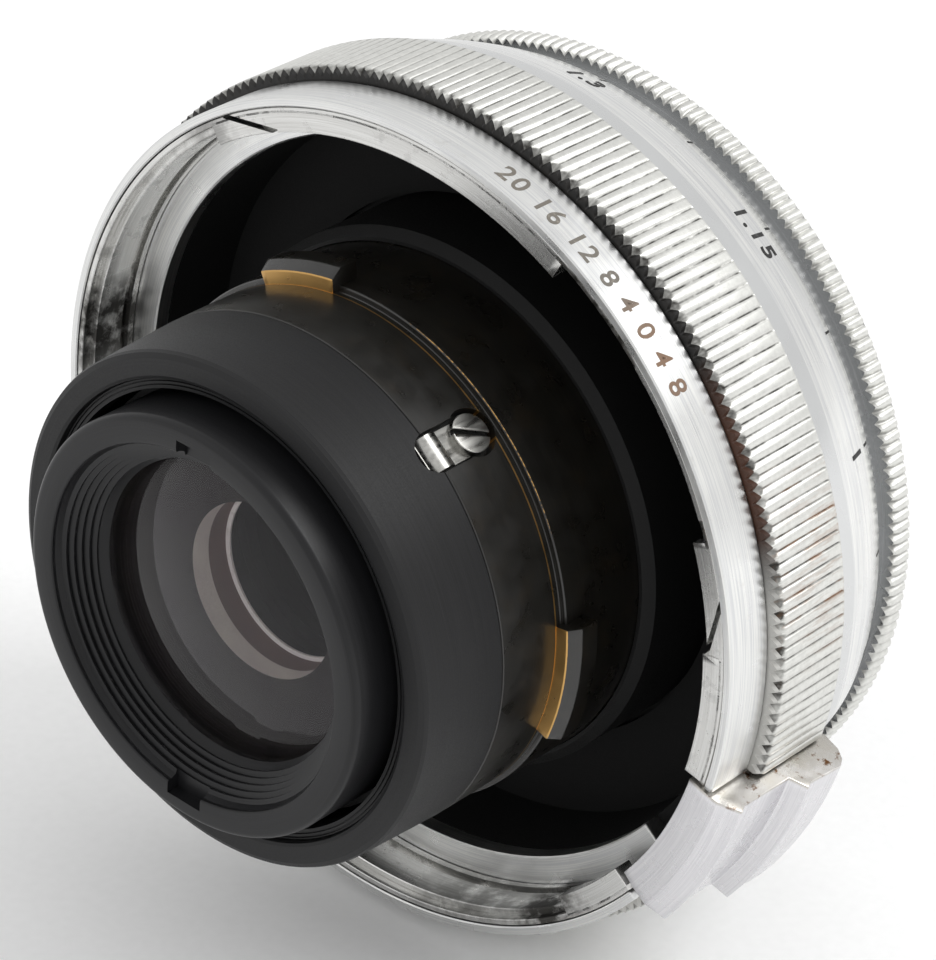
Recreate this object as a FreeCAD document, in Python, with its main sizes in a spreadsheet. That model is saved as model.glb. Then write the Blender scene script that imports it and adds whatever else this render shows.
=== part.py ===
import FreeCAD, Part
import Sketcher
import math
import os
import re

# A rangefinder wide-angle lens. +Y is the optical axis towards the front, +Z is up and
# the origin is on the axis at the rear plane of the mount shell's rim.
# phi is the angle about the axis from +X towards +Z, in degrees.

doc = FreeCAD.newDocument("rangefinder_lens")
sheet = doc.addObject("Spreadsheet::Sheet", "Dims")

DIMENSIONS = [
    # mount shell, grip and scale
    ("rim_radius", 28.0, "outer radius of the shell's rear rim"),
    ("lip_bore", 27.4, "inside of the rim lip"),
    ("band_front", 2.84, "front of the smooth rear band"),
    ("grip_seat", 27.9, "seat of the knurled grip ring"),
    ("grip_radius", 28.85, "outside of the knurled grip ring"),
    ("grip_front", 9.9, "front of the grip ring"),
    ("spigot_radius", 26.9, "front spigot that carries the scale ring"),
    ("spigot_front", 12.4, "front end of the spigot"),
    ("shell_bore", 25.9, "bore in front of the seat flange"),
    ("seat_bore", 24.4, "inner edge of the seat flange"),
    ("seat_rear", 4.15, "rear face of the seat flange"),
    ("seat_front", 5.4, "front face of the seat flange"),
    ("scale_rear_radius", 28.55, "scale ring beside the grip"),
    ("scale_front_radius", 26.35, "scale ring at its front edge"),
    ("scale_front", 16.58, "front edge of the scale ring"),
    ("scale_curve", 23.0, "radius of the scale ring's curved outside"),
    ("helicoid_bore", 25.57, "female helicoid inside the scale ring"),
    # bayonet ring
    ("bayonet_outer", 27.35, "bayonet ring outside"),
    ("bayonet_rear", 0.12, "bayonet ring rear face"),
    ("bayonet_front", 4.1, "bayonet ring front face"),
    ("bayonet_wall", 26.5, "bayonet ring bore"),
    ("bayonet_ledge", 26.95, "bore of the rear ledge"),
    ("ledge_front", 0.8, "front of the rear ledge"),
    ("bayonet_lug_bore", 25.75, "inner edge of the bayonet lugs"),
    ("bayonet_lug_front", 1.5, "front face of the bayonet lugs"),
    ("undercut_rear", 3.2, "start of the undercut groove"),
    ("undercut_front", 3.6, "end of the undercut groove"),
    ("stop_sweep", 15.8, "angle of the stop block"),
    ("slit_width", 0.45, "width of the slits in the bayonet ring"),
    # release catch
    ("catch_start", -17.5, "phi of the catch's upper side"),
    ("catch_sweep", 22.7, "angle that the catch covers"),
    ("catch_gap", 0.6, "angle left free on each side of the catch"),
    ("catch_inner", 26.25, "underside of the catch"),
    ("catch_front", 10.4, "front end of the catch"),
    ("catch_pivot_radius", 26.7, "distance of the catch pin from the axis"),
    ("catch_pivot_y", 6.0, "axial place of the catch pin"),
    ("catch_pin_radius", 0.4, "catch pin"),
    ("catch_pin_length", 12.4, "catch pin"),
    # light shield, drive tube and its retainer
    ("shield_outer", 25.85, "rim of the light shield"),
    ("shield_back", 25.2, "outside of the shield's wall"),
    ("shield_wall", 24.1, "inside of the shield's wall at its floor"),
    ("shield_floor", 10.6, "rear face of the shield's floor"),
    ("shield_bore", 18.6, "hole in the shield's floor"),
    ("recess_radius", 21.3, "recess for the drive tube's flange"),
    ("recess_rear", 11.5, "rear face of that recess"),
    ("shield_front", 12.7, "front face of the shield"),
    ("retainer_outer", 23.2, "drive tube retainer"),
    ("retainer_front", 13.5, "drive tube retainer"),
    ("drive_bore", 17.45, "bore of the drive tube"),
    ("drive_outer", 18.3, "outside of the drive tube"),
    ("drive_rear", 4.3, "rear end of the drive tube"),
    ("drive_flange", 21.2, "flange of the drive tube"),
    ("flange_rear", 11.55, "flange of the drive tube"),
    ("flange_front", 12.65, "flange of the drive tube"),
    ("tongue_front", 16.3, "front end of the two driving tongues"),
    ("tongue_sweep", 12.0, "angle of one driving tongue"),
    ("key_inner", 16.35, "inner face of the sleeve keys"),
    ("key_rear", 8.0, "sleeve keys"),
    ("key_front", 10.4, "sleeve keys"),
    ("key_sweep", 10.0, "angle of one sleeve key"),
    # coupling sleeve
    ("sleeve_bore", 15.7, "bore of the coupling sleeve"),
    ("sleeve_rear_radius", 17.1, "coupling sleeve behind the step"),
    ("sleeve_radius", 17.4, "coupling sleeve in front of the step"),
    ("sleeve_joint", -7.72, "joint between end ring and sleeve"),
    ("sleeve_front", 11.0, "front end of the sleeve"),
    ("sleeve_lug_radius", 18.5, "top of the coupling lugs"),
    ("sleeve_lug_rear", -3.0, "step of the sleeve and rear face of its lugs"),
    ("sleeve_lug_front", -0.8, "front face of the coupling lugs"),
    ("keyway_rear", 4.8, "closed end of the sleeve's keyways"),
    ("keyway_sweep", 10.6, "angle of one keyway"),
    ("spigot_bore", 15.0, "bore of the end ring"),
    ("end_spigot_front", -4.6, "end ring's spigot inside the sleeve"),
    ("end_rear", -14.36, "rear face of the end ring"),
    ("end_radius", 16.83, "end ring's rear edge"),
    ("end_chamfer", 0.35, "chamfer on the end ring's rear edge"),
    ("trim_bore", 14.35, "bore of the rear trim ring"),
    ("trim_rear", -13.9, "rear face of the rear trim ring"),
    ("trim_front", -12.6, "front face of the rear trim ring"),
    ("trim_line_inner", 14.55, "inner line groove of the trim ring"),
    ("trim_line_outer", 14.8, "outer line groove of the trim ring"),
    ("trim_line_width", 0.1, "line grooves"),
    ("trim_line_depth", 0.15, "line grooves"),
    ("spring_phi", 47.3, "phi of the detent spring and its screw"),
    ("spring_slot_width", 2.7, "slot for the detent spring"),
    ("spring_slot_rear", -8.9, "rounded end of that slot"),
    ("spring_slot_floor", 16.1, "distance of the slot's floor from the axis"),
    ("spring_width", 2.3, "detent spring"),
    ("spring_bump_y", -7.19, "axial place of the detent spring's bump"),
    ("spring_bump_top", 17.03, "distance of the bump's top from the axis"),
    ("spring_bump_radius", 0.95, "radius of the detent spring's bump"),
    ("screw_y", -4.29, "axial place of the spring screw"),
    ("screw_head_radius", 1.42, "spring screw's head"),
    ("screw_head_top", 17.0, "distance of the spring screw's top from the axis"),
    ("screw_pocket_radius", 1.6, "pocket round the spring screw's head"),
    ("spring_shank", 0.6, "spring screw's shank"),
    # focus ring and optical barrel
    ("tooth_radius", 26.42, "toothed flange of the focus ring"),
    ("flange_start", 18.14, "rear face of the toothed flange"),
    ("tooth_front", 19.67, "where the flange's front chamfer starts"),
    ("flange_end", 20.3, "front face of the toothed flange"),
    ("flange_land", 25.7, "toothed flange at its front face"),
    ("hub_radius", 25.5, "male helicoid and polished groove"),
    ("hub_rear", 14.6, "rear end of the focus ring's hub"),
    ("hub_bore", 23.9, "bore of the focus ring's hub"),
    ("web_rear", 16.6, "inner web of the focus ring"),
    ("web_front", 18.1, "inner web of the focus ring"),
    ("web_bore", 20.5, "inner web of the focus ring"),
    ("well_bore", 23.2, "recess in the front of the focus ring"),
    ("barrel_outer", 14.2, "main tube of the optical barrel"),
    ("barrel_bore", 12.6, "bore of the optical barrel"),
    ("barrel_rear", -11.2, "rear end of the optical barrel"),
    ("barrel_flange", 23.85, "flange of the optical barrel"),
    ("barrel_flange_rear", 15.0, "flange of the optical barrel"),
    ("notch_sweep", 13.0, "notches that take the driving tongues"),
    # front barrel, aperture ring and front cell
    ("front_outer", 20.4, "front barrel"),
    ("filter_bore", 18.9, "bore of the front barrel"),
    ("thread_radius", 19.25, "minor radius of the 39 mm filter thread"),
    ("thread_rear", 23.45, "inner end of the filter thread"),
    ("front_end", 24.8, "front rim"),
    ("front_foot", 23.0, "foot flange of the front barrel"),
    ("foot_front", 19.3, "foot flange of the front barrel"),
    ("link_slot_sweep", 58.0, "slots that the aperture pins move in"),
    ("link_slot_rear", 19.95, "slots that the aperture pins move in"),
    ("link_slot_front", 20.85, "slots that the aperture pins move in"),
    ("ring_bore", 20.46, "bore of the aperture ring"),
    ("ring_radius", 22.3, "outside of the aperture ring"),
    ("ring_rear", 19.6, "rear face of the aperture ring"),
    ("ring_front", 23.2, "front face of the aperture ring"),
    ("ring_land", 21.5, "aperture ring at its front face"),
    ("pin_radius", 0.35, "aperture pins"),
    ("link_outer", 12.4, "aperture tube"),
    ("link_bore", 11.7, "aperture tube"),
    ("link_rear", 10.8, "aperture tube's rear end"),
    ("link_flange", 18.6, "aperture tube's flange"),
    ("link_flange_rear", 19.9, "aperture tube's flange"),
    ("link_flange_front", 20.9, "aperture tube's flange"),
    ("cell_rear", 21.1, "rear face of the front cell"),
    ("cell_front", 22.6, "front face of the front cell"),
    ("cell_seat", 21.4, "shoulder that the front glass rests on"),
    ("cell_seat_bore", 10.6, "shoulder that the front glass rests on"),
    ("cell_outer", 18.85, "front cell"),
    ("front_glass_radius", 12.5, "front glass"),
    ("trim_cone_inner", 12.0, "front trim ring's inner edge"),
    ("trim_cone_front", 23.3, "front trim ring's outer edge"),
    ("group_outer", 11.5, "front group cell"),
    ("group_rear", 12.2, "front group cell"),
    ("second_radius", 9.4, "second glass"),
    ("doublet_radius", 7.6, "front doublet"),
    ("doublet_seat", 15.6, "shoulder of the front doublet"),
    ("group_window", 6.6, "rear window of the front group cell"),
    # iris
    ("iris_outer", 12.5, "iris base plate and cam ring"),
    ("iris_window", 6.3, "clear hole of the iris base plate"),
    ("iris_rear", 8.2, "rear face of the iris base plate"),
    ("iris_front", 8.9, "front face of the iris base plate"),
    ("cam_bore", 7.2, "clear hole of the cam ring"),
    ("cam_rear", 10.1, "rear face of the cam ring"),
    ("cam_front", 10.8, "front face of the cam ring"),
    ("blade_first", 9.0, "rear face of the first blade"),
    ("blade_step", 0.17, "axial distance from blade to blade"),
    ("blade_thickness", 0.1, "one blade"),
    ("blade_inner", 6.4, "inner edge of an open blade"),
    ("blade_outer", 9.2, "outer edge of an open blade"),
    ("blade_sweep", 118.0, "angle that a blade covers"),
    ("blade_pivot_radius", 10.4, "distance of a blade's pivot from the axis"),
    ("blade_arm", 1.8, "distance from a blade's pivot to its drive pin"),
    ("blade_pin_radius", 0.32, "pivot pin and drive pin of a blade"),
    ("blade_turn", 31.0, "turn of a blade from open to closed"),
    ("aperture_turn", 54.0, "turn of the aperture ring from open to closed"),
    # rear group
    ("rear_cell_outer", 12.5, "rear group cell"),
    ("rear_cell_front", 8.2, "rear group cell"),
    ("rear_cell_rear", -9.6, "rear group cell"),
    ("rear_cell_window", 6.2, "front window of the rear group cell"),
    ("triplet_radius", 7.4, "rear triplet"),
    ("triplet_front", 6.9, "shoulder of the rear triplet"),
    ("triplet_retainer_front", -3.4, "ring that holds the rear triplet"),
    ("triplet_retainer_rear", -4.6, "ring that holds the rear triplet"),
    ("baffle_window", 5.4, "window of the conical baffle"),
    ("baffle_window_y", -8.6, "axial place of the baffle's window"),
    ("baffle_rim", 9.5, "rim of the conical baffle"),
    ("baffle_rim_y", -11.8, "axial place of the baffle's rim"),
    ("baffle_thickness", 0.6, "wall of the conical baffle"),
    ("rear_glass_radius", 10.4, "rear glass"),
    ("rear_glass_front", -13.2, "middle of the rear glass's front face"),
    ("rear_glass_back", -15.4, "middle of the rear glass's rear face"),
    ("hood_radius", 13.76, "outside of the rear hood"),
    ("hood_rear", -16.82, "rear rim of the hood"),
    ("hood_front", -11.3, "front end of the hood"),
    ("hood_bore", 11.9, "mouth of the hood"),
    ("hood_round", 0.45, "rounding of the hood's rim"),
    ("hood_glass_bore", 10.45, "bore that takes the rear glass"),
    ("hood_lip_bore", 9.9, "lip that the rear glass rests on"),
    ("hood_lip_rear", -14.3, "lip that the rear glass rests on"),
    ("thread_steps", 5, "steps of the thread inside the hood"),
    ("hood_slot_width", 2.8, "spanner slots in the hood's rim"),
    ("hood_slot_depth", 0.9, "spanner slots in the hood's rim"),
    # fasteners
    ("hole_clearance", 0.05, "radial clearance of screw holes"),
    ("grub_radius", 0.6, "grub screws of the bayonet ring"),
    ("key_screw_radius", 0.55, "screws of the sleeve keys"),
    ("small_shank", 0.45, "retainer screws and foot screws"),
    ("small_head", 0.8, "retainer screws and foot screws"),
    ("retainer_circle", 22.2, "distance of the retainer screws from the axis"),
    ("foot_circle", 21.7, "distance of the foot screws from the axis"),
    ("flange_circle", 22.3, "distance of the flange screws from the axis"),
    ("flange_shank", 0.5, "flange screws"),
    ("flange_head", 0.95, "flange screws"),
]

for row, (alias, value, meaning) in enumerate(DIMENSIONS, start=1):
    sheet.set(f"A{row}", alias)
    sheet.set(f"B{row}", str(value))
    sheet.set(f"C{row}", meaning)
    sheet.setAlias(f"B{row}", alias)
doc.recompute()

ALIAS = re.compile(r"\b(" + "|".join(name for name, _, _ in DIMENSIONS) + r")\b")
AXIS_Y = FreeCAD.Vector(0, 1, 0)
nodes = {}


def cells(text):
    """Write an expression on the sheet's cells from one that uses their plain names."""
    return ALIAS.sub(r"Dims.\1", str(text))


def value(text):
    return float(sheet.evalExpression(cells(text)))


def origin_feature(body, role):
    return next(item for item in body.Origin.OriginFeatures if item.Role == role)


def about_axis(phi):
    """Turn a piece that was drawn at phi = 0 to phi."""
    return FreeCAD.Rotation(AXIS_Y, -phi)


def add_arc(sketch, start, end, bend):
    """Add the arc from start to end; it bulges to the right of its travel where bend is positive."""
    radius = abs(bend)
    chord = end.sub(start)
    side = FreeCAD.Vector(-chord.y, chord.x, 0).normalize()
    height = math.sqrt(radius ** 2 - chord.Length ** 2 / 4)
    centre = start.add(chord * 0.5).add(side * (height if bend > 0 else -height))
    angles = [math.atan2(point.y - centre.y, point.x - centre.x) for point in (start, end)]
    if bend < 0:
        angles.reverse()
    circle = Part.Circle(centre, FreeCAD.Vector(0, 0, 1), radius)
    sketch.addGeometry(Part.ArcOfCircle(circle, angles[0], angles[1]), False)
    return (1, 2) if bend > 0 else (2, 1)


def outline_sketch(body, name, corners, axis=None):
    """Draw a closed outline of (radius, y) corners; a third entry is the bend up to the next one."""
    sketch = body.newObject("Sketcher::SketchObject", name)
    sketch.AttachmentSupport = [(origin_feature(body, "XY_Plane"), "")]
    sketch.MapMode = "FlatFace"
    points = [FreeCAD.Vector(value(corner[0]), value(corner[1]), 0) for corner in corners]
    ends = []
    for index, corner in enumerate(corners):
        start, end = points[index], points[(index + 1) % len(points)]
        if len(corner) == 3:
            ends.append(add_arc(sketch, start, end, value(corner[2])))
        else:
            sketch.addGeometry(Part.LineSegment(start, end), False)
            ends.append((1, 2))
    for index, corner in enumerate(corners):
        following = (index + 1) % len(points)
        sketch.addConstraint(Sketcher.Constraint(
            "Coincident", index, ends[index][1], following, ends[following][0]))
        limits = [("DistanceX", corner[0], points[index].x), ("DistanceY", corner[1], points[index].y)]
        for kind, text, size in limits:
            number = sketch.addConstraint(Sketcher.Constraint(kind, -1, 1, index, ends[index][0], size))
            sketch.setExpression(f"Constraints[{number}]", cells(text))
        if len(corner) == 3:
            number = sketch.addConstraint(Sketcher.Constraint("Radius", index, abs(value(corner[2]))))
            sketch.setExpression(f"Constraints[{number}]", f"abs({cells(corner[2])})")
    if axis:
        line_ends = [FreeCAD.Vector(value(text[0]), value(text[1]), 0) for text in axis]
        sketch.addGeometry(Part.LineSegment(*line_ends), True)
    return sketch


def outline(text):
    """Split "radius, y | radius, y, bend | ..." into corners."""
    return [[part.strip() for part in corner.split(",")] for corner in text.split("|")]


def turned(label, text, sweep="360", phi=0.0):
    """A ring turned about the optical axis from its outline, over sweep degrees down from phi."""
    body = doc.addObject("PartDesign::Body", label)
    body.Label = label
    sketch = outline_sketch(body, f"{label}_outline", outline(text))
    turn = body.newObject("PartDesign::Revolution", f"{label}_turned")
    turn.Profile = sketch
    turn.ReferenceAxis = (sketch, ["V_Axis"])
    turn.setExpression("Angle", f"({cells(sweep)}) * 1 deg")
    body.Placement = FreeCAD.Placement(FreeCAD.Vector(), about_axis(phi))
    return body


def screw_circle(label, text, axis, count, phi):
    """Identical small turned pieces about their own axis, spaced evenly round the lens."""
    body = doc.addObject("PartDesign::Body", label)
    body.Label = label
    sketch = outline_sketch(body, f"{label}_outline", outline(text), outline(axis))
    turn = body.newObject("PartDesign::Revolution", f"{label}_turned")
    turn.Profile = sketch
    turn.ReferenceAxis = (sketch, ["Axis0"])
    turn.Angle = 360
    pattern = body.newObject("PartDesign::PolarPattern", f"{label}_circle")
    pattern.Originals = [turn]
    pattern.Axis = (origin_feature(body, "Y_Axis"), [""])
    pattern.Angle = 360
    pattern.Occurrences = count
    body.Tip = pattern
    body.Placement = FreeCAD.Placement(FreeCAD.Vector(), about_axis(phi))
    return body


def axial_screws(label, radius, rear, head, front, shank_radius, head_radius, count, phi):
    """Screws parallel to the optical axis: shank from rear to head, head from head to front."""
    def group(name, extra):
        text = (f"{radius}, {rear} | {radius} + {shank_radius} + {extra}, {rear}"
                f"| {radius} + {shank_radius} + {extra}, {head} | {radius} + {head_radius} + {extra}, {head}"
                f"| {radius} + {head_radius} + {extra}, {front} | {radius}, {front}")
        return screw_circle(name, text, f"{radius}, {rear} | {radius}, {front}", count, phi)
    return group(label, "0"), group(f"{label}_holes", "hole_clearance")


def radial_pins(label, inner, outer, along, pin_radius, count, phi, extra="0"):
    """Plain pins that point away from the optical axis."""
    text = (f"{inner}, {along} | {outer}, {along} | {outer}, {along} + {pin_radius} + {extra}"
            f"| {inner}, {along} + {pin_radius} + {extra}")
    return screw_circle(label, text, f"{inner}, {along} | {outer}, {along}", count, phi)


def combined(kind, label, base, tool):
    result = doc.addObject(kind, label)
    result.Label = label
    result.Base = base
    result.Tool = tool
    return result


def cut(label, base, *tools):
    for number, tool in enumerate(tools):
        last = number == len(tools) - 1
        base = combined("Part::Cut", label if last else f"{label}_cut_{number}", base, tool)
    return base


def fused(label, *pieces):
    result = doc.addObject("Part::MultiFuse", label)
    result.Label = label
    result.Shapes = list(pieces)
    return result


def arc_block(label, inner, outer, rear, front, sweep, middle):
    """A block between two radii whose middle is at phi = middle."""
    text = f"{inner}, {rear} | {outer}, {rear} | {outer}, {front} | {inner}, {front}"
    return turned(label, text, sweep, middle + value(sweep) / 2)


def keep(*pieces):
    for piece in pieces:
        nodes[piece.Label] = piece


def glass(label, edge, front_y, front_bend, rear_y, rear_bend):
    """A round glass with spherical faces; a positive bend has its centre behind the face."""
    def sag(bend):
        radius = abs(value(bend))
        drop = f"({radius} - sqrt({radius} ^ 2 - ({edge}) ^ 2))"
        return drop if value(bend) > 0 else f"(0 - {drop})"
    text = (f"0, {rear_y} | {edge}, {rear_y} - {sag(rear_bend)} | {edge}, {front_y} - {sag(front_bend)}"
            f"| 0, {front_y}")
    corners = outline(text)
    corners[0].append(f"0 - ({rear_bend})")
    corners[2].append(front_bend)
    body = doc.addObject("PartDesign::Body", label)
    body.Label = label
    sketch = outline_sketch(body, f"{label}_outline", corners)
    turn = body.newObject("PartDesign::Revolution", f"{label}_turned")
    turn.Profile = sketch
    turn.ReferenceAxis = (sketch, ["V_Axis"])
    turn.Angle = 360
    return body


# ---- mount: shell, grip, scale, bayonet ring, light shield

catch_middle = value("catch_start - catch_sweep / 2")
catch_notch = arc_block("catch_notch", "shell_bore - 0.3", "grip_radius + 3", "-1",
                        "catch_front + 0.4", "catch_sweep + 2 * catch_gap", catch_middle)


def catch_pin_shape(label, radius, length):
    """A pin across the catch, along the tangent at its middle."""
    pin = doc.addObject("Part::Cylinder", label)
    pin.Label = label
    pin.setExpression("Radius", cells(radius))
    pin.setExpression("Height", cells(length))
    turn = about_axis(catch_middle)
    along = turn.multVec(FreeCAD.Vector(0, 0, 1))
    foot = turn.multVec(FreeCAD.Vector(value("catch_pivot_radius"), value("catch_pivot_y"), 0))
    pin.Placement = FreeCAD.Placement(foot.sub(along * (value(length) / 2)), turn)
    return pin


pin_hole = catch_pin_shape("catch_pin_hole", "catch_pin_radius + 0.03", "catch_pin_length + 0.2")
shell = turned("shell_blank", """rim_radius, 0 | rim_radius, band_front | grip_seat, band_front
    | grip_seat, grip_front | spigot_radius, grip_front | spigot_radius, spigot_front
    | shell_bore, spigot_front | shell_bore, seat_front | seat_bore, seat_front | seat_bore, seat_rear
    | lip_bore, seat_rear | lip_bore, 0""")
GRUBS, GRUB_PHI = 3, 60.0
grub_span = ("bayonet_wall + 0.1", "grip_seat - 0.02", "undercut_rear - 0.75", "grub_radius")
bayonet_screws = radial_pins("bayonet_screws", *grub_span, GRUBS, GRUB_PHI)
grub_holes = radial_pins("bayonet_screw_holes", *grub_span, GRUBS, GRUB_PHI, "hole_clearance")
keep(bayonet_screws)
keep(cut("mount_shell", shell, catch_notch, pin_hole, grub_holes))

grip = turned("grip_blank", """grip_seat, band_front | grip_radius - 0.15, band_front
    | grip_radius, band_front + 0.25 | grip_radius, grip_front - 0.15
    | grip_radius - 0.15, grip_front - 0.02 | grip_seat, grip_front - 0.02""")
keep(cut("grip_ring", grip, catch_notch))

scale = turned("scale_blank", """spigot_radius, grip_front | scale_rear_radius, grip_front, scale_curve
    | scale_front_radius, scale_front | helicoid_bore, scale_front | helicoid_bore, spigot_front + 0.02
    | spigot_radius, spigot_front + 0.02""")
keep(cut("scale_ring", scale, catch_notch))

bayonet = turned("bayonet_blank", """bayonet_ledge, bayonet_rear | bayonet_outer, bayonet_rear
    | bayonet_outer, bayonet_front | bayonet_wall - 0.2, bayonet_front
    | bayonet_wall - 0.2, undercut_front | bayonet_wall + 0.25, undercut_front
    | bayonet_wall + 0.25, undercut_rear | bayonet_wall, undercut_rear | bayonet_wall, ledge_front
    | bayonet_ledge, ledge_front""")
# rear lugs that grip the body flange, as (first phi, last phi)
BAYONET_LUGS = [(57.5, 121.0), (-17.0, 2.5), (-54.7, -41.0)]
lugs = [arc_block(f"bayonet_lug_{number}", "bayonet_lug_bore", "bayonet_ledge + 0.2", "bayonet_rear",
                  "bayonet_lug_front", str(last - first), (first + last) / 2)
        for number, (first, last) in enumerate(BAYONET_LUGS)]
STOP_PHI = 10.4
stop_block = arc_block("bayonet_stop", "bayonet_wall - 0.45", "bayonet_ledge + 0.2", "bayonet_rear",
                       "bayonet_lug_front", "stop_sweep", STOP_PHI)
bayonet = fused("bayonet_fused", bayonet, *lugs, stop_block)
# gaps in the wall between the lugs, as (first phi, last phi)
BAYONET_GAPS = [(42.0, 57.5), (18.45, 21.3)]
gaps = [arc_block(f"bayonet_gap_{number}", "bayonet_lug_bore - 1", "bayonet_ledge + 0.1", "-1",
                  "undercut_rear", str(last - first), (first + last) / 2)
        for number, (first, last) in enumerate(BAYONET_GAPS)]


def bayonet_slit(label, radius, phi, lean):
    """A narrow saw cut through a lug, leaning away from the radius by lean degrees."""
    slit = doc.addObject("Part::Box", label)
    slit.Label = label
    slit.setExpression("Length", cells("(bayonet_outer - bayonet_lug_bore) * 3"))
    slit.setExpression("Width", cells("bayonet_lug_front + 1"))
    slit.setExpression("Height", cells("slit_width"))
    half = FreeCAD.Vector(value("bayonet_outer - bayonet_lug_bore") * 1.5, 1.0, value("slit_width") / 2)
    turn = about_axis(phi + lean)
    middle = about_axis(phi).multVec(FreeCAD.Vector(radius, 0, 0))
    slit.Placement = FreeCAD.Placement(middle.sub(turn.multVec(half)), turn)
    return slit


slits = [bayonet_slit("slit_upper", 26.5, 113.5, 70.0), bayonet_slit("slit_side", 26.78, 7.1, 68.4)]
keep(cut("bayonet_ring", bayonet, catch_notch, grub_holes, *slits, *gaps))

shield = turned("shield_blank", """shield_outer, seat_front | shield_outer, seat_front + 1.2
    | shield_back, seat_front + 1.2 | shield_back, recess_rear + 0.1 | retainer_outer, recess_rear + 0.1
    | retainer_outer, shield_front | recess_radius, shield_front | recess_radius, recess_rear
    | shield_bore, recess_rear | shield_bore, shield_floor | shield_wall, shield_floor
    | seat_bore, seat_front""")
retainer = turned("retainer_blank", """shield_bore, shield_front | retainer_outer, shield_front
    | retainer_outer, retainer_front | shield_bore, retainer_front""")
retainer_screws, retainer_holes = axial_screws(
    "retainer_screws", "retainer_circle", "recess_rear + 0.2", "shield_front + 0.3", "retainer_front",
    "small_shank", "small_head", 4, 20.0)
keep(retainer_screws, cut("light_shield", shield, retainer_holes),
     cut("driver_retainer", retainer, retainer_holes))

# ---- release catch

# two saw-toothed ridges for the thumb, as (radius, y) corners
CATCH_RIDGES = """catch_inner, 0.15 | 27.3, 0.02 | 28.6, 0.02 | 30.05, 0.75 | 29.75, 1.35 | 29.85, 5.5
    | 31.1, 5.95 | 30.85, 6.45 | 31.05, 8.6 | 31.05, 9.2 | 30.7, 9.75 | 30.0, 10.2 | 28.9, catch_front
    | 27.0, catch_front | catch_inner, catch_front - 0.6"""
catch = turned("catch_blank", CATCH_RIDGES, "catch_sweep", value("catch_start"))
catch_bore = catch_pin_shape("catch_bore", "catch_pin_radius + 0.04", "catch_pin_length + 0.2")
keep(cut("release_catch", catch, catch_bore))
keep(catch_pin_shape("catch_pin", "catch_pin_radius", "catch_pin_length"))
keep(arc_block("catch_spring", "shield_back + 0.03", "shield_back + 0.23", "seat_front + 1.4",
               "catch_front", "9.0", catch_middle))

# ---- drive tube with its tongues and keys

drive = turned("drive_blank", """drive_bore, drive_rear | drive_outer - 0.6, drive_rear
    | drive_outer, drive_rear + 0.6 | drive_outer, flange_rear | drive_flange, flange_rear
    | drive_flange, flange_front | drive_bore, flange_front""")
TONGUE_PHI = [0.0, 180.0]
tongues = [arc_block(f"drive_tongue_{number}", "drive_bore", "drive_outer", "flange_front - 0.3",
                     "tongue_front", "tongue_sweep", phi)
           for number, phi in enumerate(TONGUE_PHI)]
KEY_PHI = [-43.0, 137.0]
key_pair = [arc_block(f"sleeve_key_{number}", "key_inner", "drive_bore", "key_rear", "key_front",
                      "key_sweep", phi)
            for number, phi in enumerate(KEY_PHI)]
key_span = ("key_inner + 0.2", "drive_outer - 0.02", "(key_rear + key_front) / 2", "key_screw_radius")
key_screws = radial_pins("key_screws", *key_span, len(KEY_PHI), KEY_PHI[0])
key_holes = radial_pins("key_screw_holes", *key_span, len(KEY_PHI), KEY_PHI[0], "hole_clearance")
keep(key_screws)
keep(cut("drive_tube", fused("drive_fused", drive, *tongues), key_holes))
keep(cut("drive_keys", fused("drive_key_pair", *key_pair), key_holes))

# ---- coupling sleeve with its lugs, end ring and detent spring

sleeve = turned("sleeve_blank", """sleeve_bore, sleeve_joint | sleeve_rear_radius, sleeve_joint
    | sleeve_rear_radius, sleeve_lug_rear | sleeve_radius, sleeve_lug_rear | sleeve_radius, sleeve_front
    | sleeve_bore, sleeve_front""")
# coupling lugs, as (first phi, last phi)
SLEEVE_LUGS = [(93.0, 112.5), (-24.0, 3.0), (-146.0, -124.0)]
sleeve_lugs = [arc_block(f"sleeve_lug_{number}", "sleeve_rear_radius - 0.5", "sleeve_lug_radius",
                         "sleeve_lug_rear", "sleeve_lug_front", str(last - first), (first + last) / 2)
               for number, (first, last) in enumerate(SLEEVE_LUGS)]
keyways = [arc_block(f"sleeve_keyway_{number}", "sleeve_bore - 0.5", "sleeve_radius + 0.5", "keyway_rear",
                     "sleeve_front + 0.5", "keyway_sweep", phi)
           for number, phi in enumerate(KEY_PHI)]


def at_spring(shape_object, radius, along):
    """Place a piece that stands on the radius through the detent spring."""
    turn = about_axis(value("spring_phi"))
    shape_object.Placement = FreeCAD.Placement(
        turn.multVec(FreeCAD.Vector(value(radius), value(along), 0)), turn)
    return shape_object


def radial_cylinder(label, radius, foot, top, along):
    """A cylinder that points away from the axis, from the radius foot to the radius top."""
    cylinder = doc.addObject("Part::Cylinder", label)
    cylinder.Label = label
    cylinder.setExpression("Radius", cells(radius))
    cylinder.setExpression("Height", cells(f"{top} - ({foot})"))
    at_spring(cylinder, foot, along)
    lie_down = FreeCAD.Rotation(AXIS_Y, 90)
    cylinder.Placement = FreeCAD.Placement(cylinder.Placement.Base, cylinder.Placement.Rotation * lie_down)
    return cylinder


def radial_box(label, foot, top, rear, front, width):
    """A box on the spring's radius; width is measured along the tangent."""
    box = doc.addObject("Part::Box", label)
    box.Label = label
    box.setExpression("Length", cells(f"{top} - ({foot})"))
    box.setExpression("Width", cells(f"{front} - ({rear})"))
    box.setExpression("Height", cells(width))
    at_spring(box, foot, rear)
    box.Placement.Base = box.Placement.Base.add(
        box.Placement.Rotation.multVec(FreeCAD.Vector(0, 0, -value(width) / 2)))
    return box


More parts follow.
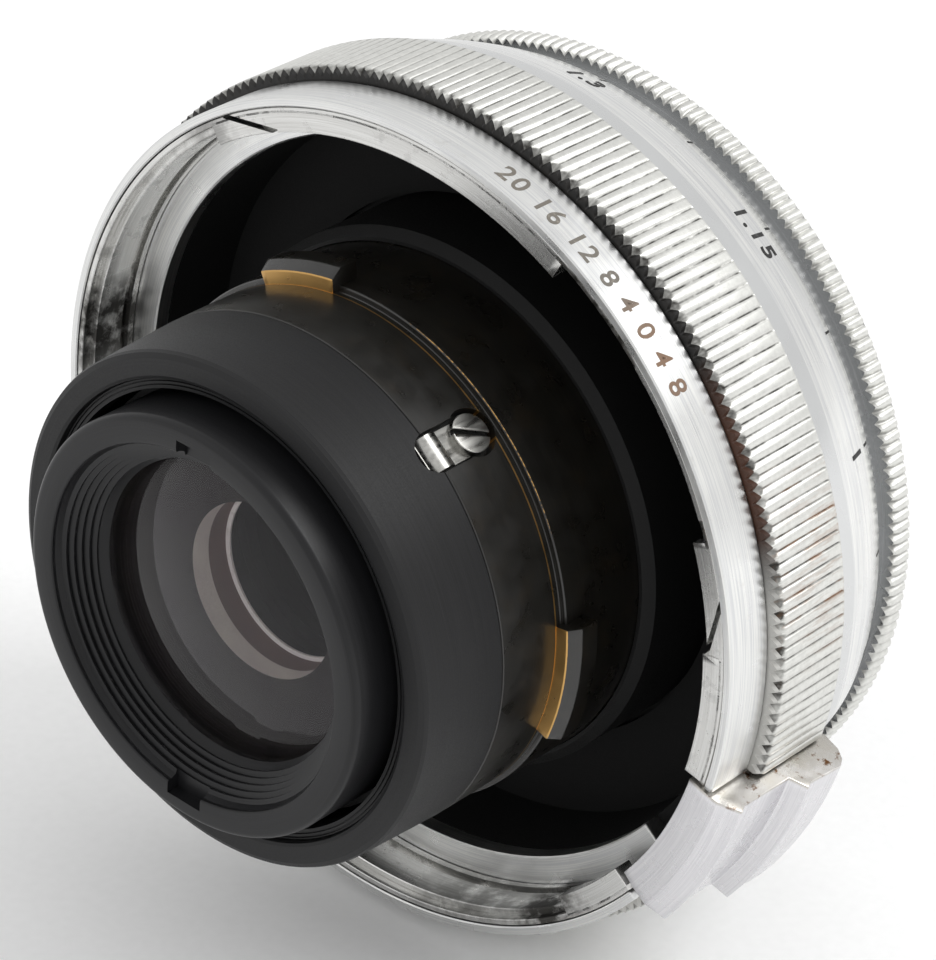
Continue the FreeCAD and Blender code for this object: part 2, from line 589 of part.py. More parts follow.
spring_slot = fused(
    "spring_slot",
    radial_box("slot_body", "spring_slot_floor", "sleeve_radius + 1",
               "spring_slot_rear + spring_slot_width / 2", "screw_y", "spring_slot_width"),
    radial_cylinder("slot_end", "spring_slot_width / 2", "spring_slot_floor", "sleeve_radius + 1",
                    "spring_slot_rear + spring_slot_width / 2"),
    radial_cylinder("slot_pocket", "screw_pocket_radius", "spring_slot_floor", "sleeve_radius + 1",
                    "screw_y"))
screw_hole = radial_cylinder("spring_screw_hole", "spring_shank + hole_clearance", "spigot_bore - 0.5",
                             "sleeve_radius", "screw_y")
sleeve_with_lugs = fused("sleeve_fused", sleeve, *sleeve_lugs)
keep(cut("coupling_sleeve", sleeve_with_lugs, *keyways, spring_slot, screw_hole))

end_ring = turned("end_blank", """spigot_bore, end_rear + 0.25 | spigot_bore + 0.25, end_rear
    | end_radius - end_chamfer, end_rear | end_radius, end_rear + end_chamfer
    | sleeve_rear_radius, sleeve_joint - 0.02 | sleeve_bore - 0.02, sleeve_joint - 0.02
    | sleeve_bore - 0.02, end_spigot_front | spigot_bore, end_spigot_front""")
keep(cut("sleeve_end_ring", end_ring, spring_slot, screw_hole))
trim_groove = """| {0}, trim_rear | {0}, trim_rear + trim_line_depth
    | {0} + trim_line_width, trim_rear + trim_line_depth | {0} + trim_line_width, trim_rear"""
trim_grooves = trim_groove.format("trim_line_inner") + trim_groove.format("trim_line_outer")
keep(turned("rear_trim_ring", f"""trim_bore, trim_rear {trim_grooves}
    | spigot_bore - 0.01, trim_rear | spigot_bore - 0.01, trim_front | trim_bore, trim_front"""))

spring_foot = "spring_slot_floor + 0.02"
spring_leaf = radial_box("spring_leaf", spring_foot, "spring_slot_floor + 0.32",
                         "spring_slot_rear + 0.75", "screw_y + 0.9", "spring_width")
bump = doc.addObject("Part::Cylinder", "spring_bump")
bump.setExpression("Radius", cells("spring_bump_radius"))
bump.setExpression("Height", cells("spring_width"))
at_spring(bump, "spring_bump_top - spring_bump_radius", "spring_bump_y")
bump.Placement.Base = bump.Placement.Base.add(
    bump.Placement.Rotation.multVec(FreeCAD.Vector(0, 0, -value("spring_width") / 2)))
bump_floor = radial_box("spring_bump_floor", "spring_slot_floor - 2", spring_foot,
                        "spring_bump_y - 2", "spring_bump_y + 2", "spring_width + 1")
spring_hole = radial_cylinder("spring_leaf_hole", "spring_shank + hole_clearance", "spring_slot_floor - 1",
                              "spring_slot_floor + 1", "screw_y")
keep(cut("detent_spring", fused("spring_fused", spring_leaf, bump), bump_floor, spring_hole))
screw_head = radial_cylinder("spring_screw_head", "screw_head_radius", "spring_slot_floor + 0.34",
                             "screw_head_top", "screw_y")
screw_shank = radial_cylinder("spring_screw_shank", "spring_shank", "spigot_bore + 0.1",
                              "spring_slot_floor + 0.4", "screw_y")
driver_slot = radial_box("spring_screw_slot", "screw_head_top - 0.3", "spring_slot_floor + 2",
                         "screw_y - 2", "screw_y + 2", "0.35")
keep(cut("spring_screw", fused("spring_screw_blank", screw_head, screw_shank), driver_slot))

# ---- focus ring, optical barrel and front barrel

flange_screws, flange_holes = axial_screws(
    "flange_screws", "flange_circle", "web_front - 0.3", "barrel_flange_rear + 0.6", "barrel_flange_rear",
    "flange_shank", "flange_head", 6, 30.0)
focus = turned("focus_blank", """hub_bore, hub_rear | hub_radius, hub_rear | hub_radius, flange_start
    | tooth_radius, flange_start | tooth_radius, tooth_front | flange_land, flange_end
    | well_bore, flange_end | well_bore, web_front | web_bore, web_front | web_bore, web_rear
    | hub_bore, web_rear""")
foot_screws, foot_holes = axial_screws(
    "foot_screws", "foot_circle", "web_rear + 0.2", "foot_front - 0.5", "foot_front",
    "small_shank", "small_head", 3, 0.0)
keep(flange_screws, foot_screws, cut("focus_ring", focus, flange_holes, foot_holes))

barrel = turned("barrel_blank", """barrel_bore, barrel_rear | barrel_outer, barrel_rear
    | barrel_outer, barrel_flange_rear | barrel_flange, barrel_flange_rear
    | barrel_flange, web_rear - 0.01 | barrel_bore, web_rear - 0.01""")
notches = [arc_block(f"barrel_notch_{number}", "drive_bore - 0.1", "drive_outer + 0.1",
                     "barrel_flange_rear - 0.5", "web_rear + 0.5", "notch_sweep", phi)
           for number, phi in enumerate(TONGUE_PHI)]
keep(cut("optical_barrel", barrel, *notches, flange_holes))

front = turned("front_blank", """filter_bore, web_front | web_bore - 0.05, web_front
    | web_bore - 0.05, web_front + 0.01 | front_foot, web_front + 0.01 | front_foot, foot_front
    | front_outer, foot_front | front_outer, front_end - 0.2 | front_outer - 0.2, front_end
    | thread_radius + 0.25, front_end | thread_radius, front_end - 0.25
    | thread_radius, thread_rear | filter_bore, thread_rear""")
PIN_PHI = [60.0, 240.0]
pin_slots = [arc_block(f"pin_slot_{number}", "filter_bore - 1", "front_outer + 1", "link_slot_rear",
                       "link_slot_front", "link_slot_sweep", phi + value("aperture_turn") / 2)
             for number, phi in enumerate(PIN_PHI)]
keep(cut("front_barrel", front, *pin_slots, foot_holes))

# ---- aperture ring, its pins, the tube that carries its turn to the iris

pin_span = ("link_flange - 0.9", "ring_bore + 0.9", "(link_slot_rear + link_slot_front) / 2", "pin_radius")
aperture_pins = radial_pins("aperture_pins", *pin_span, len(PIN_PHI), PIN_PHI[0])
aperture_pin_holes = radial_pins("aperture_pin_holes", *pin_span, len(PIN_PHI), PIN_PHI[0], "hole_clearance")
ring = turned("ring_blank", """ring_bore, ring_rear | ring_radius - 0.3, ring_rear
    | ring_radius, ring_rear + 0.3 | ring_radius, ring_front - 1.0 | ring_land, ring_front
    | ring_bore, ring_front""")
keep(aperture_pins, cut("aperture_ring", ring, aperture_pin_holes))
link = turned("link_blank", """link_bore, link_rear | link_outer, link_rear | link_outer, link_flange_rear
    | link_flange, link_flange_rear | link_flange, link_flange_front | link_bore, link_flange_front""")
keep(cut("aperture_tube", link, aperture_pin_holes))

# ---- front cell and glasses

keep(turned("front_cell", """group_outer + 0.02, cell_rear | cell_outer, cell_rear
    | cell_outer, cell_front | front_glass_radius + 0.02, cell_front
    | front_glass_radius + 0.02, cell_seat | group_outer + 0.02, cell_seat"""))
keep(turned("front_group_cell", """group_window, group_rear | group_outer, group_rear
    | group_outer, cell_seat | cell_seat_bore, cell_seat | cell_seat_bore, cell_seat - 0.5
    | second_radius + 0.02, cell_seat - 0.5 | second_radius + 0.02, doublet_seat + 0.8
    | doublet_radius - 0.8, doublet_seat + 0.8 | doublet_radius - 0.8, doublet_seat
    | doublet_radius + 0.02, doublet_seat | doublet_radius + 0.02, group_rear + 0.6
    | group_window, group_rear + 0.6"""))
keep(turned("front_trim_ring", """trim_cone_inner, cell_front | filter_bore - 0.03, cell_front
    | filter_bore - 0.03, trim_cone_front | filter_bore - 0.5, trim_cone_front
    | trim_cone_inner, cell_front + 0.25"""))
# edge radius, middle of the front face and its bend, middle of the rear face and its bend
FRONT_GLASSES = {
    "front_glass": ("front_glass_radius", "cell_front + 0.78", "80", "cell_seat + 0.4", "200"),
    "second_glass": ("second_radius", "doublet_seat + 4.7", "20", "doublet_seat + 2.36", "30"),
    "front_doublet_outer": ("doublet_radius", "doublet_seat", "40", "doublet_seat - 0.7", "20"),
    "front_doublet_inner": ("doublet_radius", "doublet_seat - 0.71", "20", "group_rear + 1.12", "60"),
}
keep(*[glass(label, *sizes) for label, sizes in FRONT_GLASSES.items()])

# ---- iris

BLADES = 6
blade_ratio = value("blade_turn") / value("aperture_turn")
pivot_radius, arm = value("blade_pivot_radius"), value("blade_arm")
pin_radius = value("blade_pin_radius")


def at_radius(radius, phi, along):
    angle = math.radians(phi)
    return FreeCAD.Vector(radius * math.cos(angle), along, radius * math.sin(angle))


def disc(centre, radius, thickness):
    return Part.makeCylinder(radius, thickness, centre, AXIS_Y)


def blade_phi(number):
    return 360.0 / BLADES * number


def drive_pin_at(turn, number):
    """Where a blade's drive pin stands when the blade has turned by turn degrees."""
    phi = blade_phi(number)
    pivot = at_radius(pivot_radius, phi, 0)
    return pivot.add(at_radius(arm, phi - 90.0 + turn, 0))


def shape_node(label, shape):
    """A piece whose shape is computed: its sizes are read from the sheet."""
    feature = doc.addObject("Part::Feature", label)
    feature.Label = label
    feature.Shape = shape
    feature.Placement = FreeCAD.Placement()
    return feature


def blade_shape(number):
    """A crescent with a pivot pin into the base plate and a drive pin into the cam ring."""
    rear = value("blade_first") + value("blade_step") * number
    thickness = value("blade_thickness")
    inner, outer = value("blade_inner"), value("blade_outer")
    middle = (inner + outer) / 2
    phi = blade_phi(number)
    sweep = value("blade_sweep")
    lie_down = FreeCAD.Rotation(FreeCAD.Vector(1, 0, 0), 90)
    place = FreeCAD.Placement(FreeCAD.Vector(0, rear + thickness, 0), about_axis(phi + 8.0) * lie_down)
    origin, up = FreeCAD.Vector(), FreeCAD.Vector(0, 0, 1)
    crescent = Part.makeCylinder(outer, thickness, origin, up, sweep - 8.0)
    crescent = crescent.cut(Part.makeCylinder(inner, thickness)).Solids[0]
    crescent.Placement = place
    pivot = at_radius(pivot_radius, phi, rear)
    drive = drive_pin_at(0, number).add(FreeCAD.Vector(0, rear, 0))
    root = at_radius(middle, phi + 8.0, rear)
    tip = at_radius(middle, phi + sweep, rear)
    boss = pin_radius + 0.35
    pieces = [disc(pivot, boss, thickness), disc(drive, boss, thickness),
              bar(pivot, drive, boss, thickness), bar(pivot, root, boss, thickness),
              disc(tip, (outer - inner) / 2, thickness)]
    base = value("iris_rear")
    pieces.append(disc(FreeCAD.Vector(pivot.x, base + 0.05, pivot.z), pin_radius, rear - base))
    pieces.append(disc(drive, pin_radius, value("cam_front") - 0.05 - rear))
    return crescent.multiFuse(pieces).removeSplitter()


def bar(start, end, half_width, thickness):
    """A flat bar with square ends from start to end."""
    run = end.sub(start)
    side = run.cross(AXIS_Y).normalize() * half_width
    corners = [start.add(side), end.add(side), end.sub(side), start.sub(side), start.add(side)]
    return Part.Face(Part.makePolygon(corners)).extrude(AXIS_Y * thickness)


blades = [shape_node(f"iris_blade_{number + 1}", blade_shape(number)) for number in range(BLADES)]
keep(*blades)

iris_base = turned("iris_blank", """iris_window, iris_rear | iris_outer, iris_rear
    | iris_outer, iris_front | iris_window, iris_front""")
pivot_holes = screw_circle("iris_pivot_holes", """blade_pivot_radius, iris_rear - 0.5
    | blade_pivot_radius + blade_pin_radius + 0.03, iris_rear - 0.5
    | blade_pivot_radius + blade_pin_radius + 0.03, iris_front + 0.5
    | blade_pivot_radius, iris_front + 0.5""",
    "blade_pivot_radius, iris_rear | blade_pivot_radius, iris_front", BLADES, 0.0)
keep(cut("iris_base_plate", iris_base, pivot_holes))


def cam_ring_shape():
    """A ring with one curved slot for each blade; the slot turns a blade in constant ratio."""
    rear, front = value("cam_rear"), value("cam_front")
    ring = Part.makeCylinder(value("iris_outer") - 0.05, front - rear, at_radius(0, 0, rear), AXIS_Y)
    tools = [Part.makeCylinder(value("cam_bore"), front - rear, at_radius(0, 0, rear), AXIS_Y)]
    slot_radius = pin_radius + 0.05
    steps = 14
    for number in range(BLADES):
        path = []
        for step in range(-1, steps + 2):
            ring_turn = value("aperture_turn") * step / steps
            point = drive_pin_at(ring_turn * blade_ratio, number)
            turned_pin = FreeCAD.Rotation(AXIS_Y, ring_turn).multVec(point)
            path.append(turned_pin.add(FreeCAD.Vector(0, rear - 0.1, 0)))
        tools += [disc(point, slot_radius, front - rear + 0.2) for point in path]
        tools += [bar(path[index], path[index + 1], slot_radius, front - rear + 0.2)
                  for index in range(len(path) - 1)]
    return ring.cut(tools)


keep(shape_node("iris_cam_ring", cam_ring_shape()))

# ---- rear group, baffle, hood

keep(turned("rear_group_cell", """triplet_radius + 0.02, triplet_front | rear_cell_window, triplet_front
    | rear_cell_window, rear_cell_front | rear_cell_outer, rear_cell_front
    | rear_cell_outer, rear_cell_rear | barrel_bore - 1.6, rear_cell_rear
    | barrel_bore - 1.6, triplet_retainer_rear - 0.6 | triplet_radius + 0.02, triplet_retainer_rear - 0.6"""))
keep(turned("triplet_retainer", """triplet_radius - 1, triplet_retainer_rear
    | triplet_radius, triplet_retainer_rear | triplet_radius, triplet_retainer_front
    | triplet_radius - 0.6, triplet_retainer_front"""))
REAR_GLASSES = {
    "triplet_front_glass": ("triplet_radius", "5.8", "0 - 26", "3.2", "0 - 13"),
    "triplet_middle_glass": ("triplet_radius", "3.19", "0 - 13", "0.2", "13"),
    "triplet_rear_glass": ("triplet_radius", "0.19", "13", "0 - 1.4", "32"),
    "rear_glass": ("rear_glass_radius", "rear_glass_front", "0 - 40", "rear_glass_back", "0 - 31"),
}
keep(*[glass(label, *sizes) for label, sizes in REAR_GLASSES.items()])
keep(turned("rear_baffle", """baffle_window, baffle_window_y | baffle_rim, baffle_rim_y
    | hood_glass_bore - 0.02, baffle_rim_y | hood_glass_bore - 0.02, baffle_rim_y + baffle_thickness
    | baffle_rim, baffle_rim_y + baffle_thickness | baffle_window, baffle_window_y + baffle_thickness"""))

# the hood's bore steps down in thread turns from its mouth to the lip that holds the glass
steps = int(value("thread_steps"))
mouth_y = "hood_rear + 0.7"
step_length = f"((hood_lip_rear - ({mouth_y})) / thread_steps)"
step_height = "((hood_bore - 0.2 - hood_lip_bore) / (thread_steps + 1))"
thread = []
for number in range(steps):
    crest = f"hood_bore - 0.2 - {number + 1} * {step_height}"
    start = f"{mouth_y} + {number} * {step_length}"
    thread += [f"{crest}, {start} + 0.1", f"{crest}, {start} + 0.65 * {step_length}",
               f"{crest} + 0.16, {start} + 0.8 * {step_length}"]
thread.reverse()
hood_text = f"""hood_glass_bore, hood_lip_rear + 0.5 | hood_lip_bore, hood_lip_rear + 0.5
    | {' | '.join(thread)} | hood_bore - 0.2, {mouth_y} | hood_bore, hood_rear + 0.4
    | hood_bore, hood_rear + 0.1 | hood_bore + 0.25, hood_rear
    | hood_radius - hood_round, hood_rear, hood_round
    | hood_radius, hood_rear + hood_round | hood_radius, barrel_rear - 0.02
    | barrel_bore - 0.02, barrel_rear - 0.02 | barrel_bore - 0.02, hood_front + 1.6
    | hood_glass_bore, hood_front + 1.6"""
hood = turned("hood_blank", hood_text)


def hood_slot(label, phi):
    return arc_block(label, "hood_bore - 1.6", "hood_bore + 0.75", "hood_rear - 0.5",
                     "hood_rear + hood_slot_depth", "hood_slot_width / hood_bore * 57.3", phi)


keep(cut("rear_hood", hood, hood_slot("hood_slot_upper", 85.5), hood_slot("hood_slot_lower", 265.5)))

# ---- check and write

doc.recompute()
faults = [item.Name for item in doc.Objects if "Invalid" in item.State or "Error" in item.State]
faults += [label for label, node in nodes.items() if node.Shape.isNull() or not node.Shape.isValid()]
if faults:
    raise RuntimeError(f"failed objects: {faults}")
os.makedirs("parts", exist_ok=True)
for label, node in nodes.items():
    node.Shape.exportStep(f"parts/{label}.step")
    print(f"{label:24s} {len(node.Shape.Solids)} solid(s) {node.Shape.Volume:10.2f} mm3")
print(len(nodes), "nodes")
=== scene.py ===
from math import acos, atan, atan2, cos, degrees, pi, radians, sin, sqrt

import bpy
from mathutils import Matrix, Vector


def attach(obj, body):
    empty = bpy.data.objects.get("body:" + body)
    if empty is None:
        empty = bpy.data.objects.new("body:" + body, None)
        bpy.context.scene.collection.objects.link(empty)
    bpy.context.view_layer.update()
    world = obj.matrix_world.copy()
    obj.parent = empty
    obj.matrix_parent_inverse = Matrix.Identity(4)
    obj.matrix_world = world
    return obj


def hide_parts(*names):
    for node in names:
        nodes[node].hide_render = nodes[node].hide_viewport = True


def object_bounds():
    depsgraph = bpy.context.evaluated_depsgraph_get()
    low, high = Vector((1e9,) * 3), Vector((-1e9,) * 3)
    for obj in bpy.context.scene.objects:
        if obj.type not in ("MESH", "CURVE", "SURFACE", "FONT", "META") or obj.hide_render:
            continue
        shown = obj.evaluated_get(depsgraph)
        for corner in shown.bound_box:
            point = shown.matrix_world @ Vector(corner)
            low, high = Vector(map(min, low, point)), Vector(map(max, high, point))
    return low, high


# A rangefinder lens seen from behind. +Y is the optical axis towards the front, and phi is
# the angle about it from +X towards +Z, in degrees. Sizes are in millimetres until they are used.

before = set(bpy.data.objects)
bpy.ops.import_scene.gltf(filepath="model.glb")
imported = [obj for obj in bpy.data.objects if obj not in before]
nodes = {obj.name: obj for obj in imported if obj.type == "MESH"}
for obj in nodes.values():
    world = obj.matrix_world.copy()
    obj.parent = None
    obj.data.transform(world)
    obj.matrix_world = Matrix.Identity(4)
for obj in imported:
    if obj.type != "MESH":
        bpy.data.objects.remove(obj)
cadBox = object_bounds()
mm = 0.001
print("frame:", len(nodes), "CAD nodes")


# ---- modelling, as on a lathe and a mill

def deselectAll():
    bpy.ops.object.select_all(action="DESELECT")


def pick(piece):
    deselectAll()
    piece.select_set(True)
    bpy.context.view_layer.objects.active = piece


def nameIt(piece, name):
    piece.name = name
    piece.data.name = name
    return piece


def phiOf(point):
    return degrees(atan2(point[2], point[0]))


# a circle extruded, scaled and moved from corner to corner of (radius, y)
def lathe(name, corners, sides=240, closed=True, smooth=20):
    deselectAll()
    radius, along = corners[0]
    bpy.ops.mesh.primitive_circle_add(vertices=sides, radius=radius * mm, location=(0, along * mm, 0),
                                      rotation=(radians(90), 0, 0))
    piece = nameIt(bpy.context.object, name)
    bpy.ops.object.transform_apply(location=True, rotation=True, scale=True)
    bpy.ops.object.mode_set(mode="EDIT")
    bpy.ops.mesh.select_mode(type="VERT")
    bpy.ops.mesh.select_all(action="SELECT")
    for nextRadius, nextAlong in list(corners[1:]) + (list(corners[:1]) if closed else []):
        bpy.ops.mesh.extrude_region_move()
        share = nextRadius / radius
        bpy.ops.transform.resize(value=(share, 1, share), center_override=(0, along * mm, 0))
        bpy.ops.transform.translate(value=(0, (nextAlong - along) * mm, 0))
        radius, along = nextRadius, nextAlong
    bpy.ops.mesh.select_all(action="SELECT")
    bpy.ops.mesh.remove_doubles(threshold=0.002 * mm)
    bpy.ops.mesh.normals_make_consistent(inside=False)
    bpy.ops.object.mode_set(mode="OBJECT")
    bpy.ops.object.shade_smooth_by_angle(angle=radians(smooth))
    return piece


def selectPart(piece, kind, test):
    pick(piece)
    bpy.ops.object.mode_set(mode="EDIT")
    bpy.ops.mesh.select_mode(type=kind)
    bpy.ops.mesh.select_all(action="DESELECT")
    bpy.ops.object.mode_set(mode="OBJECT")
    if kind == "FACE":
        for face in piece.data.polygons:
            face.select = test(face.center)
    else:
        for corner in piece.data.vertices:
            corner.select = test(corner.co)
    bpy.ops.object.mode_set(mode="EDIT")


# keeps the stretch of a turned piece between two angles, with flat ends
def keepArc(piece, first, last):
    pick(piece)
    bpy.ops.object.mode_set(mode="EDIT")
    for phi, side in ((first, 1), (last, -1)):
        angle = radians(phi)
        bpy.ops.mesh.select_all(action="SELECT")
        bpy.ops.mesh.bisect(plane_co=(0, 0, 0), plane_no=(-sin(angle) * side, 0, cos(angle) * side),
                            use_fill=True, clear_inner=True)
    bpy.ops.mesh.select_all(action="SELECT")
    bpy.ops.mesh.normals_make_consistent(inside=False)
    bpy.ops.object.mode_set(mode="OBJECT")
    return piece


# takes out the stretch between two angles and closes the cut ends
def openNotch(piece, first, last):
    pick(piece)
    bpy.ops.object.mode_set(mode="EDIT")
    for phi in (first, last):
        bpy.ops.mesh.select_all(action="SELECT")
        bpy.ops.mesh.bisect(plane_co=(0, 0, 0), plane_no=(-sin(radians(phi)), 0, cos(radians(phi))))
    bpy.ops.object.mode_set(mode="OBJECT")
    selectPart(piece, "FACE", lambda middle: first < phiOf(middle) < last)
    bpy.ops.mesh.delete(type="FACE")
    bpy.ops.mesh.select_all(action="SELECT")
    bpy.ops.mesh.fill_holes(sides=0)
    bpy.ops.mesh.normals_make_consistent(inside=False)
    bpy.ops.object.mode_set(mode="OBJECT")
    return piece


# pulls the corners at some steps of each pitch in, so that grooves run along the outside
def sinkGrooves(piece, sides, every, steps, outside, stretch, share):
    selectPart(piece, "VERT", lambda place: Vector((place.x, place.z)).length > outside * mm
               and stretch[0] * mm < place.y < stretch[1] * mm
               and round(phiOf(place) / 360 * sides) % every in steps)
    bpy.ops.transform.resize(value=(share, 1, share), center_override=(0, 0, 0))
    bpy.ops.object.mode_set(mode="OBJECT")


def bevelEdges(piece, width, segments=2, angle=30):
    pick(piece)
    bevel = piece.modifiers.new("edges", "BEVEL")
    bevel.width = width * mm
    bevel.segments = segments
    bevel.limit_method = "ANGLE"
    bevel.angle_limit = radians(angle)
    bpy.ops.object.modifier_apply(modifier=bevel.name)
    bpy.ops.object.shade_smooth_by_angle(angle=radians(35))
    return piece


def carve(piece, *cutters):
    for cutter in cutters:
        pick(piece)
        cut = piece.modifiers.new("cut", "BOOLEAN")
        cut.object = cutter
        cut.solver = "EXACT"
        bpy.ops.object.modifier_apply(modifier=cut.name)
        bpy.data.objects.remove(cutter)
    return piece


def joinAll(name, pieces):
    deselectAll()
    for piece in pieces:
        piece.select_set(True)
    bpy.context.view_layer.objects.active = pieces[0]
    bpy.ops.object.join()
    return nameIt(bpy.context.object, name)


# the frame of a spot on the outside: x towards falling phi, y towards the front, z outwards
def spot(phi, radius, along, lean=0.0):
    angle = radians(phi)
    outwards = Vector((cos(angle), 0, sin(angle)))
    up = Vector((0, 1, 0)) * cos(lean) + outwards * sin(lean)
    out = outwards * cos(lean) - Vector((0, 1, 0)) * sin(lean)
    right = up.cross(out)
    place = outwards * radius * mm + Vector((0, along * mm, 0))
    return Matrix.Translation(place) @ Matrix((right, up, out)).transposed().to_4x4()


def settle(piece, place):
    pick(piece)
    piece.matrix_world = place @ piece.matrix_world
    bpy.ops.object.transform_apply(location=True, rotation=True, scale=True)
    return piece


def boxAt(place, size, offset=(0, 0, 0)):
    deselectAll()
    bpy.ops.mesh.primitive_cube_add(size=1, location=[part * mm for part in offset])
    block = bpy.context.object
    block.scale = [part * mm for part in size]
    return settle(block, place)


def figures(texts, height, depth, stroke=0.0):
    made = []
    for text, place in texts:
        deselectAll()
        bpy.ops.object.text_add(location=(0, 0, 0))
        glyph = bpy.context.object
        glyph.data.body = text
        glyph.data.size = height / 0.7 * mm
        glyph.data.align_x = "CENTER"
        glyph.data.align_y = "CENTER"
        glyph.data.extrude = depth * mm
        glyph.data.offset = stroke * mm
        glyph.data.resolution_u = 4
        bpy.ops.object.convert(target="MESH")
        glyph = bpy.context.object
        bpy.ops.object.mode_set(mode="EDIT")
        bpy.ops.mesh.select_all(action="SELECT")
        bpy.ops.mesh.remove_doubles(threshold=0.0005 * mm)
        bpy.ops.mesh.normals_make_consistent(inside=False)
        bpy.ops.object.mode_set(mode="OBJECT")
        made.append(settle(glyph, place))
    return made


def finish(piece, body, materials, replaced):
    for material in materials:
        piece.data.materials.append(material)
    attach(piece, body)
    if replaced:
        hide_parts(*replaced)


# ---- materials

def linearColour(hexText):
    shares = [int(hexText[place:place + 2], 16) / 255 for place in (1, 3, 5)]
    return [share / 12.92 if share <= 0.04045 else ((share + 0.055) / 1.055) ** 2.4 for share in shares] + [1.0]


def addNode(tree, kind, inputs=None, **settings):
    node = tree.nodes.new("ShaderNode" + kind)
    for key, value in settings.items():
        setattr(node, key, value)
    for key, value in (inputs or {}).items():
        if isinstance(value, bpy.types.Node):
            value = value.outputs[0]
        if isinstance(value, bpy.types.NodeSocket):
            tree.links.new(value, node.inputs[key])
        else:
            node.inputs[key].default_value = value
    return node


def startMaterial(name, shaderInputs):
    material = bpy.data.materials.new(name)
    material.use_nodes = True
    tree = material.node_tree
    shader = tree.nodes["Principled BSDF"]
    for key, value in shaderInputs.items():
        shader.inputs[key].default_value = value
    return material, tree, shader


# the place on the object, its distance from the axis, its y and its phi in radians
def latheAxes(tree):
    place = addNode(tree, "TexCoord").outputs["Object"]
    parts = addNode(tree, "SeparateXYZ", {0: place})
    across = addNode(tree, "CombineXYZ", {0: parts.outputs["X"], 1: parts.outputs["Z"]})
    radius = addNode(tree, "VectorMath", {0: across}, operation="LENGTH").outputs["Value"]
    phi = addNode(tree, "Math", {0: parts.outputs["Z"], 1: parts.outputs["X"]}, operation="ARCTAN2")
    return place, radius, parts.outputs["Y"], phi.outputs[0]


def calculate(tree, operation, first, second=0.0):
    return addNode(tree, "Math", {0: first, 1: second}, operation=operation).outputs[0]


def ramp(tree, value, low, high, start=0.0, end=1.0):
    return addNode(tree, "MapRange", {"Value": value, "From Min": low, "From Max": high,
                                      "To Min": start, "To Max": end}).outputs[0]


def blendColour(tree, share, first, second):
    inputs = {"Factor": share}
    node = addNode(tree, "Mix", inputs, data_type="RGBA")
    for socket, value in ((node.inputs[6], first), (node.inputs[7], second)):
        if isinstance(value, str):
            socket.default_value = linearColour(value)
        else:
            tree.links.new(value, socket)
    return node.outputs[2]


# 1 between two angles, fading over soft degrees
def sector(tree, phi, middle, half, soft):
    apart = calculate(tree, "COSINE", calculate(tree, "SUBTRACT", phi, radians(middle)))
    return ramp(tree, apart, cos(radians(min(half + soft, 179.0))), cos(radians(max(half - soft, 0.0))))


# noise with features of that many millimetres
def spots(tree, place, size, detail=2.0, roughness=0.5):
    return addNode(tree, "TexNoise", {"Vector": place, "Scale": 1 / (size * mm), "Detail": detail,
                                      "Roughness": roughness}).outputs["Fac"]


# tool marks that run round the axis: fine across them, long along them
def turnedMarks(tree, axes, pitch, length=9.0):
    place, radius, along, _ = axes
    parts = addNode(tree, "SeparateXYZ", {0: place})
    across = calculate(tree, "MULTIPLY", calculate(tree, "ADD", calculate(tree, "MULTIPLY", radius, 1.7), along),
                       length / pitch)
    vector = addNode(tree, "CombineXYZ", {0: parts.outputs["X"], 1: across, 2: parts.outputs["Z"]})
    return spots(tree, vector, length, 3.0, 0.6)


def addBump(tree, shader, height, depth, strength=1.0):
    bump = addNode(tree, "Bump", {"Height": height, "Distance": depth * mm, "Strength": strength})
    tree.links.new(bump.outputs[0], shader.inputs["Normal"])


def feed(tree, shader, **sources):
    for key, source in sources.items():
        tree.links.new(source, shader.inputs[key.replace("_", " ")])


# satin chrome plate on turned brass: a soft white sheen with fine rings round the axis
def satinChrome(name, bright="#E9E9E6", dull="#CFD0D1", low=0.24, high=0.40, zone=None):
    material, tree, shader = startMaterial(name, {"Metallic": 1.0})
    axes = latheAxes(tree)
    marks = turnedMarks(tree, axes, 0.10)
    cloud = spots(tree, axes[0], 3.0)
    colour = blendColour(tree, ramp(tree, marks, 0.35, 0.65), dull, bright)
    smudge = ramp(tree, spots(tree, axes[0], 1.1, 4.0, 0.6), 0.62, 0.78)
    colour = blendColour(tree, calculate(tree, "MULTIPLY", smudge, 0.35), colour, "#B9B6AF")
    if zone:  # a stretch along the axis painted darker; on the focus ring it is painted shade in the groove
        share = calculate(tree, "MULTIPLY", ramp(tree, axes[2], zone[0] * mm, (zone[0] + 0.08) * mm),
                          ramp(tree, axes[2], (zone[1] + 0.08) * mm, zone[1] * mm))
        colour = blendColour(tree, share, colour, zone[2])
    feed(tree, shader, Base_Color=colour, Roughness=ramp(tree, cloud, 0.3, 0.7, low, high))
    addBump(tree, shader, marks, 0.004)
    return material
